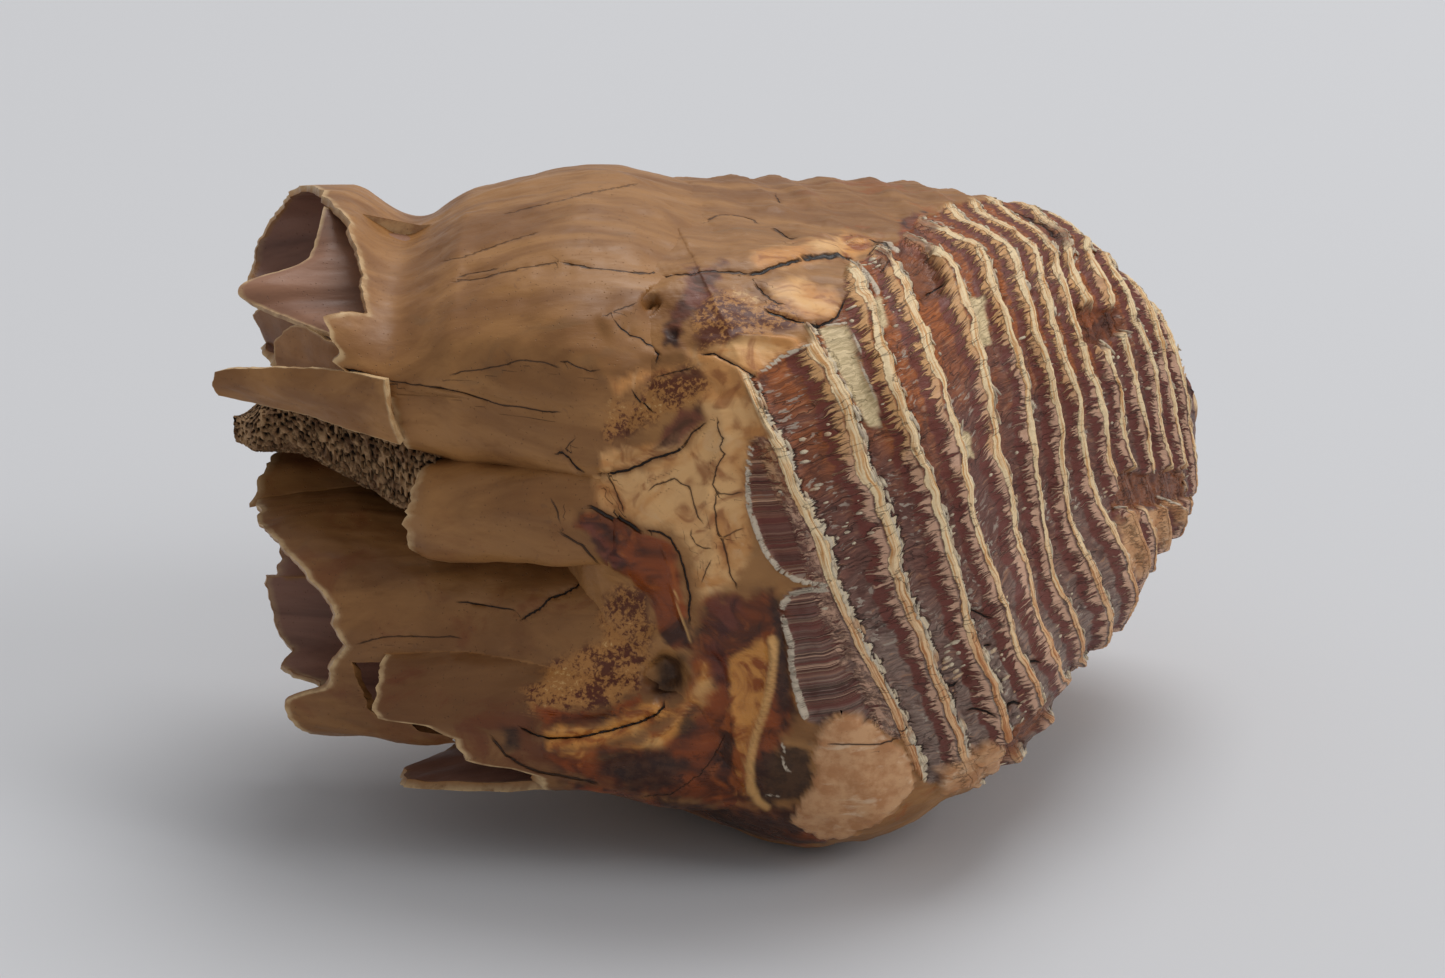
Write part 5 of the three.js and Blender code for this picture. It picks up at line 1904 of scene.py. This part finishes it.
class Finish:
    """A finish of fossil dentine, enamel or bone, by layers of colour over a base."""

    def __init__(self, name: str, effects: Effects, shine: Shine) -> None:
        """Starts a material with its shader.

        Args:
            name: the material's name.
            effects: the shared effects.
            shine: the numbers that are the same all over.
        """
        self.material = bpy.data.materials.new(name)
        self.material.use_nodes = True
        tree = self.material.node_tree
        tree.nodes.clear()
        self.wires = Wires(tree)
        self.effects = effects
        self.shader = self.wires.node("ShaderNodeBsdfPrincipled")
        output = self.wires.node("ShaderNodeOutputMaterial")
        tree.links.new(self.shader.outputs[0], output.inputs[0])
        for key, value in (("Specular IOR Level", shine.specular), ("Coat Weight", shine.coat),
                           ("Coat Roughness", shine.coat_roughness), ("IOR", shine.ior)):
            self.shader.inputs[key].default_value = value
        place = self.wires.node("ShaderNodeTexCoord").outputs["Object"]
        self.place = self.wires.scaled(place, (1000.0, 1000.0, 1000.0))

    def stain(self, scale: float, cover: float, edge: float, along: float = 1.0) -> Socket:
        """Where a cloudy stain lies, drawn out along X where along is below 1."""
        vector = self.wires.scaled(self.place, (along, 1, 1)) if along != 1.0 else self.place
        return self.wires.group(self.effects.stain, vector=vector, scale=scale, cover=cover,
                                edge=edge)[0]

    def cracked(self, colour: Socket, shade: Colour, line: Colour) -> tuple[Socket, Socket]:
        """Lays the cracks over a colour, each with a softer shade beside it.

        Args:
            colour: the colour under them.
            shade: red, green and blue of the shade.
            line: red, green and blue of the crack.

        Returns:
            The colour, and where the cracks are.
        """
        w = self.wires
        crack = w.group(self.effects.crack, side=w.attribute("crack_side"),
                        near=w.attribute("crack_near"))
        colour = w.over(colour, crack["Shade"], 0.35, shade)
        return w.mix(crack["Line"], colour, line), crack["Line"]

    def tan(self, fine: Socket, broad: Socket) -> Socket:
        """The tan of bare dentine and cement, from its fine and broad grain."""
        w = self.wires
        base = w.mix(w.band(broad, 0.34, 0.68), (168, 120, 70), (134, 90, 49))
        base = w.over(base, w.band(fine, 0.5, 0.72), 0.3, (112, 72, 40))
        grey = self.stain(0.1, 0.42, 0.14, 0.3)
        return w.over(base, grey, 0.35, (120, 92, 62))

    def marked(self, colour: Socket) -> tuple[Socket, Socket]:
        """Lays the stained patches and the painted shade of the near side over a colour.

        Args:
            colour: the colour under them.

        Returns:
            The colour, and where it is glossy.
        """
        w = self.wires
        swirl = w.noise(w.scaled(self.place, (0.6, 1, 1)), 0.13, 3.0, 0.5, 1.0)
        veins = w.noise(w.scaled(self.place, (0.8, 1, 0.8)), 0.2, 3.5, 0.5, 1.6)
        cream = w.attribute("cream")
        creamy = w.mix(w.band(swirl, 0.36, 0.62), (234, 184, 124), (208, 146, 84))
        creamy = w.over(creamy, w.band(veins, 0.5, 0.72), 0.75, (148, 84, 42))
        creamy = w.over(creamy, w.band(veins, 0.44, 0.26), 0.4, (230, 192, 146))
        colour = w.over(colour, cream, 0.9, creamy)
        spots = w.noise(self.place, 1.1, 6.0, 0.72, 0.4)
        cloud = w.noise(self.place, 0.16, 3.0, 0.55, 0.6)
        spots = w.plus(spots, w.times(w.less(cloud, 0.5), 0.7))
        spotted = w.mix(w.band(spots, 0.44, 0.58), (172, 118, 62), (80, 28, 11))
        spotted = w.over(spotted, w.band(spots, 0.36, 0.26), 0.9, (216, 172, 112))
        colour = w.over(colour, w.attribute("mottle"), 0.9, spotted)
        amber = w.attribute("amber")
        deep = w.mix(w.band(swirl, 0.36, 0.64), (142, 66, 22), (54, 20, 10))
        deep = w.over(deep, w.band(veins, 0.54, 0.74), 0.7, (168, 88, 34))
        deep = w.over(deep, w.band(veins, 0.4, 0.28), 0.7, (44, 18, 12))
        colour = w.over(colour, amber, 0.95, deep)
        golden = w.attribute("golden")
        gold = w.mix(w.band(veins, 0.38, 0.64), (218, 150, 74), (150, 78, 28))
        gold = w.over(gold, w.band(swirl, 0.42, 0.3), 0.6, (236, 188, 118))
        colour = w.over(colour, golden, 0.9, gold)
        plum = w.mix(w.band(veins, 0.4, 0.62), (112, 58, 44), (60, 26, 22))
        colour = w.over(colour, w.attribute("purple"), 0.85, plum)
        # near-black over the dark mark: a stain in one patch, painted shade over the pits and along
        # the lower front
        murk = w.mix(w.band(w.noise(self.place, 0.55, 5.0, 0.65), 0.4, 0.6), (64, 40, 26),
                     (38, 20, 15))
        colour = w.over(colour, w.attribute("dark"), 0.88, murk)
        colour = w.over(colour, w.band(w.attribute("line"), 0.25, 1.0), 0.85, (222, 170, 104))
        return colour, w.math("MAXIMUM", amber, golden)

    def done(self, colour: object, roughness: object, height: object,
             depth: float) -> Material:
        """Feeds the shader and returns the material.

        Args:
            colour: the base colour.
            roughness: the roughness.
            height: the fine relief, from 0 to about 1.
            depth: what 1 of it is in mm.

        Returns:
            The material.
        """
        w = self.wires
        w.feed(self.shader.inputs["Base Color"], colour)
        w.feed(self.shader.inputs["Roughness"], roughness)
        bump = w.fed("ShaderNodeBump", {"Strength": 1.0, "Distance": depth * MM,
                                        "Height": height})[0]
        w.feed(self.shader.inputs["Normal"], bump)
        return self.material


class Dentine(Finish):
    """Tan dentine of the roots: flow lines along X, mauve inside, pale at broken edges."""

    def build(self) -> Material:
        """Wires the material."""
        w = self.wires
        grain = w.group(self.effects.fibres, vector=self.place, stretch=0.3, scale=0.4)
        fine, broad, pores = (grain[k] for k in ("Fine", "Broad", "Pores"))
        base = self.tan(fine, broad)
        tone = w.attribute("tone")
        warm = self.stain(0.09, 0.5, 0.2)
        base = w.over(base, w.times(warm, tone), 0.85, (126, 64, 30))
        base = w.over(base, tone, 0.5, (78, 44, 25))
        spots = self.stain(0.35, 0.36, 0.06)
        base = w.over(base, spots, 0.3, (110, 76, 52))
        inner = w.mix(w.band(broad, 0.35, 0.7), (150, 108, 90), (112, 78, 66))
        base, gloss = self.marked(base)
        colour = w.mix(w.attribute("inside"), base, inner)
        worn = w.times(w.attribute("edge"),
                       w.band(w.noise(self.place, 0.35, 4.0, 0.6), 0.35, 0.6, 0.3, 0.85))
        colour = w.mix(worn, colour, (212, 180, 134))
        colour, cracks = self.cracked(colour, (104, 64, 36), (34, 20, 12))
        colour = w.over(colour, pores, 0.35, (92, 64, 44))
        rough = w.band(fine, 0.3, 0.75, 0.38, 0.62)
        rough = w.less(rough, w.times(gloss, 0.16))
        height = w.times(fine, 0.45)
        height = w.times_plus(broad, 0.5, height)
        height = w.less(height, w.times(cracks, 1.6))
        height = w.less(height, w.times(pores, 0.35))
        return self.done(colour, rough, height, 0.32)


class CrownFinish(Finish):
    """The crown: enamel ridges and stained valleys, and the marked patches round them."""

    def build(self) -> Material:
        """Wires the material."""
        w = self.wires
        apart = w.node("ShaderNodeSeparateXYZ")
        w.feed(apart.inputs[0], self.place)
        up = apart.outputs[2]
        grain = w.group(self.effects.fibres, vector=self.place, stretch=0.3, scale=0.4)
        fine, broad, pores = (grain[k] for k in ("Fine", "Broad", "Pores"))
        # cement and dentine round the grinding face
        base = self.tan(fine, broad)
        onward = w.band(apart.outputs[0], 2.0, 34.0)
        rust = self.stain(0.13, 0.46, 0.12)
        base = w.over(base, w.times(rust, onward), 0.7, (150, 82, 32))
        mauve = self.stain(0.08, 0.42, 0.1, 0.5)
        base = w.over(base, w.times(mauve, onward), 0.3, (122, 86, 62))
        colour, gloss = self.marked(base)
        amber = w.attribute("amber")
        deep = w.mix(w.band(w.noise(self.place, 0.16, 4.0, 0.6, 1.5), 0.35, 0.7), (150, 78, 34),
                     (72, 32, 18))
        # the grinding face
        drift = w.noise(self.place, 0.09, 4.0, 0.6, 0.8)
        height_here = w.times_plus(w.less(drift, 0.5), 60.0, up)
        plate = w.attribute("plate")
        wider = w.times(w.band(height_here, 52.0, 80.0), w.band(plate, 1.5, 10.0, 0.4, 1.6))
        out = w.group(self.effects.plates, plate=plate, along=w.attribute("along"),
                      pitch=w.attribute("pitch"), wider=wider)
        tall = w.band(height_here, 68.0, 94.0)
        low = w.band(height_here, 62.0, 34.0)
        valley = w.mix(tall, (118, 76, 64), (164, 88, 34))
        valley = w.mix(low, valley, (140, 118, 106))
        clouds = w.noise(self.place, 0.28, 4.0, 0.62, 0.6)
        valley = w.over(valley, w.band(clouds, 0.48, 0.68), 0.6, (84, 42, 32))
        murk = w.mix(w.band(out["Grain"], 0.38, 0.58), w.mix(0.5, valley, (58, 30, 22)), valley)
        murk = w.over(murk, w.band(out["Grain"], 0.56, 0.7), 0.6, (172, 126, 92))
        murk = w.over(murk, out["Fleck"], 0.75, (176, 162, 146))
        pink = w.mix(tall, (214, 170, 142), (218, 168, 112))
        toothed = w.mix(out["Comb"], (110, 52, 42), pink)
        murk = w.over(murk, out["Flank"], 0.86, toothed)
        # painted shadow: the thin near-black band past each crest's fringe
        murk = w.over(murk, out["Groove_and_shadow"], w.band(clouds, 0.35, 0.6, 0.3, 0.95), (46, 26, 20))
        chalk = w.mix(w.band(out["Lines"], 0.35, 0.65), (222, 200, 164), (196, 184, 164))
        murk = w.mix(out["Fringe"], murk, chalk)
        band = w.mix(w.band(out["Lines"], 0.44, 0.66), (238, 212, 168), (206, 150, 90))
        worn = w.mix(w.band(out["Lines"], 0.4, 0.6), (226, 180, 132), (176, 112, 64))
        band = w.mix(low, band, worn)
        murk = w.mix(out["Crest"], murk, band)
        broken = w.attribute("broken")
        smooth = w.mix(w.band(fine, 0.4, 0.7), (136, 78, 42), (92, 50, 34))
        murk = w.mix(broken, murk, smooth)
        murk = w.over(murk, out["Split"], 0.45, (36, 22, 16))
        face = w.attribute("face")
        colour = w.mix(face, colour, murk)
        colour = w.over(colour, w.times(amber, face), 0.8, deep)
        fluted = w.attribute("fluted")
        colour = w.mix(fluted, colour,
                       w.mix(w.band(out["Grain"], 0.4, 0.6), (228, 204, 160), (192, 170, 128)))
        patch = w.attribute("patch")
        plain = w.mix(w.band(w.noise(self.place, 0.3, 6.0, 0.6), 0.38, 0.64), (206, 158, 114),
                      (182, 128, 84))
        plain = w.over(plain, w.band(fine, 0.56, 0.7), 0.55, (228, 200, 168))
        colour = w.mix(patch, colour, plain)
        rim = w.times(w.attribute("rim"),
                      w.band(w.noise(self.place, 0.9, 4.0, 0.65), 0.3, 0.5, 0.45, 1.0))
        colour = w.mix(w.band(rim, 0.3, 0.6), colour, (200, 184, 162))
        colour, cracks = self.cracked(colour, (110, 62, 34), (26, 15, 10))
        colour = w.over(colour, w.times(pores, 0.3), w.less(1.0, face), (92, 60, 40))
        gloss = w.math("MAXIMUM", gloss, broken)
        rough = w.band(fine, 0.3, 0.75, 0.4, 0.62)
        rough = w.less(rough, w.times(gloss, 0.18))
        rough = w.plus(rough, w.times(face, 0.06))
        relief = w.times(out["Comb"], out["Flank"])
        relief = w.times_plus(out["Fringe"], 0.5, relief)
        relief = w.times_plus(out["Crest"], 0.9, relief)
        relief = w.times_plus(out["Grain"], 0.9, relief)
        relief = w.less(relief, w.times(out["Groove_and_shadow"], 0.8))
        relief = w.less(relief, w.times(out["Split"], 0.5))
        relief = w.times(relief, face)
        plain_height = w.times_plus(broad, 0.6, w.times(fine, 0.7))
        height = w.plus(relief, w.times(plain_height, w.less(1.0, face)))
        height = w.less(height, w.times(cracks, 1.6))
        return self.done(colour, rough, height, 0.34)


class ChalkFinish(Finish):
    """Chalky white-grey enamel, stained here and there."""

    def build(self) -> Material:
        """Wires the material."""
        w = self.wires
        cloud = w.noise(self.place, 0.5, 4.0, 0.6)
        colour = w.mix(w.band(cloud, 0.4, 0.62), (214, 198, 170), (176, 160, 140))
        stain = w.noise(self.place, 0.13, 3.0, 0.6)
        colour = w.over(colour, w.band(stain, 0.5, 0.66), 0.6, (188, 132, 84))
        return self.done(colour, 0.7, w.noise(self.place, 3.0, 3.0, 0.6), 0.12)


class BoneFinish(Finish):
    """Dry spongy bone, darkened in its pores and its hollow by painted shade."""

    def build(self) -> Material:
        """Wires the material."""
        w = self.wires
        cloud = w.noise(self.place, 0.3, 5.0, 0.65)
        wall = w.mix(w.band(cloud, 0.4, 0.65), (178, 142, 104), (126, 94, 68))
        pore_shade = w.attribute("pore_shade")
        # painted shade: near-black in the pores and over the hollow's wall
        colour = w.mix(w.band(pore_shade, 0.35, 0.85), wall, (40, 28, 20))
        return self.done(colour, 0.85, w.noise(self.place, 2.2, 4.0, 0.7), 0.25)


@dataclass
class Studio:
    """A plain pale floor, soft lights and a grey surround."""

    floor: Colour = (205, 206, 209)
    half: float = 6.0  # of the floor's width, in metres
    depth: float = 2e-4  # how far the floor lies under the tooth, in metres
    surround: float = 0.46
    # name, place, target, width, height and power
    lamps: tuple[tuple[str, tuple[float, ...], tuple[float, ...], float, float, float], ...] = (
        ("top_light", (0.6, 1.2, 2.8), (0.0, 0.0, 0.05), 2.2, 1.6, 52.0),
        ("right_light", (3.2, -1.2, 2.2), (0.02, 0.0, 0.05), 1.8, 1.8, 42.0))

    def build(self) -> None:
        """Makes the floor, the lights and the surround."""
        mesh = bpy.data.meshes.new("floor")
        mesh.from_pydata([(self.half * x, self.half * y, -self.depth)
                          for x, y in ((-1, -1), (1, -1), (1, 1), (-1, 1))], [], [(0, 1, 2, 3)])
        floor = placed("floor", mesh)
        material = bpy.data.materials.new("floor_paper")
        material.use_nodes = True
        shader = material.node_tree.nodes["Principled BSDF"]
        shader.inputs["Base Color"].default_value = linear(*self.floor)
        shader.inputs["Roughness"].default_value = 0.75
        mesh.materials.append(material)
        world = bpy.data.worlds.new("surround")
        bpy.context.scene.world = world
        world.use_nodes = True
        back = world.node_tree.nodes["Background"]
        back.inputs[0].default_value = (0.84, 0.84, 0.85, 1.0)
        back.inputs[1].default_value = self.surround
        for lamp in self.lamps:
            self.lamp(*lamp)
        bpy.context.scene.view_settings.view_transform = "Standard"

    def lamp(self, name: str, place: tuple[float, ...], target: tuple[float, ...],
             width: float, height: float, power: float) -> None:
        """One soft rectangular light.

        Args:
            name: its name.
            place: where it hangs in metres.
            target: the place that it is turned to.
            width: its width.
            height: its height.
            power: its power in watts.
        """
        data = bpy.data.lights.new(name, "AREA")
        data.shape = "RECTANGLE"
        data.size = width
        data.size_y = height
        data.energy = power
        lamp = placed(name, data)
        lamp.location = place
        aim = Vector(target) - Vector(place)
        lamp.rotation_euler = aim.to_track_quat("-Z", "Y").to_euler()


@dataclass
class Roots:
    """The hollow roots with their thin inner walls, and the stub beside them."""

    dentine: Material

    def build(self) -> None:
        """Builds the roots in two joined pieces, and the sheets inside them."""
        upper = UPPER_ROOT.form()
        combine(upper, UPPER_ROOT.hollow(), "DIFFERENCE")
        lower = LOWER_ROOT.form()
        for root in (MIDDLE_ROOT, FRONT_ROOT):
            combine(lower, root.form(), "UNION")
        for root in (LOWER_ROOT, MIDDLE_ROOT, FRONT_ROOT):
            combine(lower, root.hollow(), "DIFFERENCE")
        upper.name, lower.name = "upper_root", "lower_roots"
        stub = STUB_ROOT.form()
        for piece in (upper, lower, stub):
            drop_chips(piece)
            UPPER_ROOT.marked(piece)
            settle(piece, "tooth", self.dentine, SHARP_ROOTS)
        for sheet in (SEPTUM, FAR_SCRAP, NEAR_SCRAP):
            settle(sheet.build(), "tooth", self.dentine, SHARP_SHEETS)


def main() -> None:
    """Builds the pieces in order."""
    logging.basicConfig(level=logging.INFO, format="%(message)s")
    effects = Effects()
    dentine = Dentine("root_dentine", effects, Shine(0.3, 0.06, 0.3)).build()
    crown = CrownFinish("crown_enamel_and_cement", effects, Shine(0.3, 0.06, 0.25)).build()
    bone = BoneFinish("spongy_bone", effects, Shine(0.2)).build()
    chalk = ChalkFinish("chalky_enamel", effects, Shine(0.25)).build()
    molar_crown = Crown()
    for piece in molar_crown.build():
        settle(piece, "tooth", crown)
    settle(Crumbs().build(molar_crown.crumbs, chalk), "tooth", chalk)
    Roots(dentine).build()
    settle(FarRoots().build(), "tooth", dentine, SHARP_SHEETS)
    settle(SPLINTER.build(), "root_splinter", dentine, SHARP_SHEETS)
    sponge = JawBone().build()
    # the hollow's wall gets a high pore number, so it is painted near-black as shade
    hollow = ball("hollow", JawBone.hollow_middle, JawBone.hollow_half, {"pore_shade": 0.8})
    combine(sponge, hollow, "DIFFERENCE")
    drop_chips(sponge)
    settle(sponge, "jaw_bone", bone, SHARP_SPONGE)
    VIEW.build()
    Studio().build()


if __name__ == "__main__":
    main()
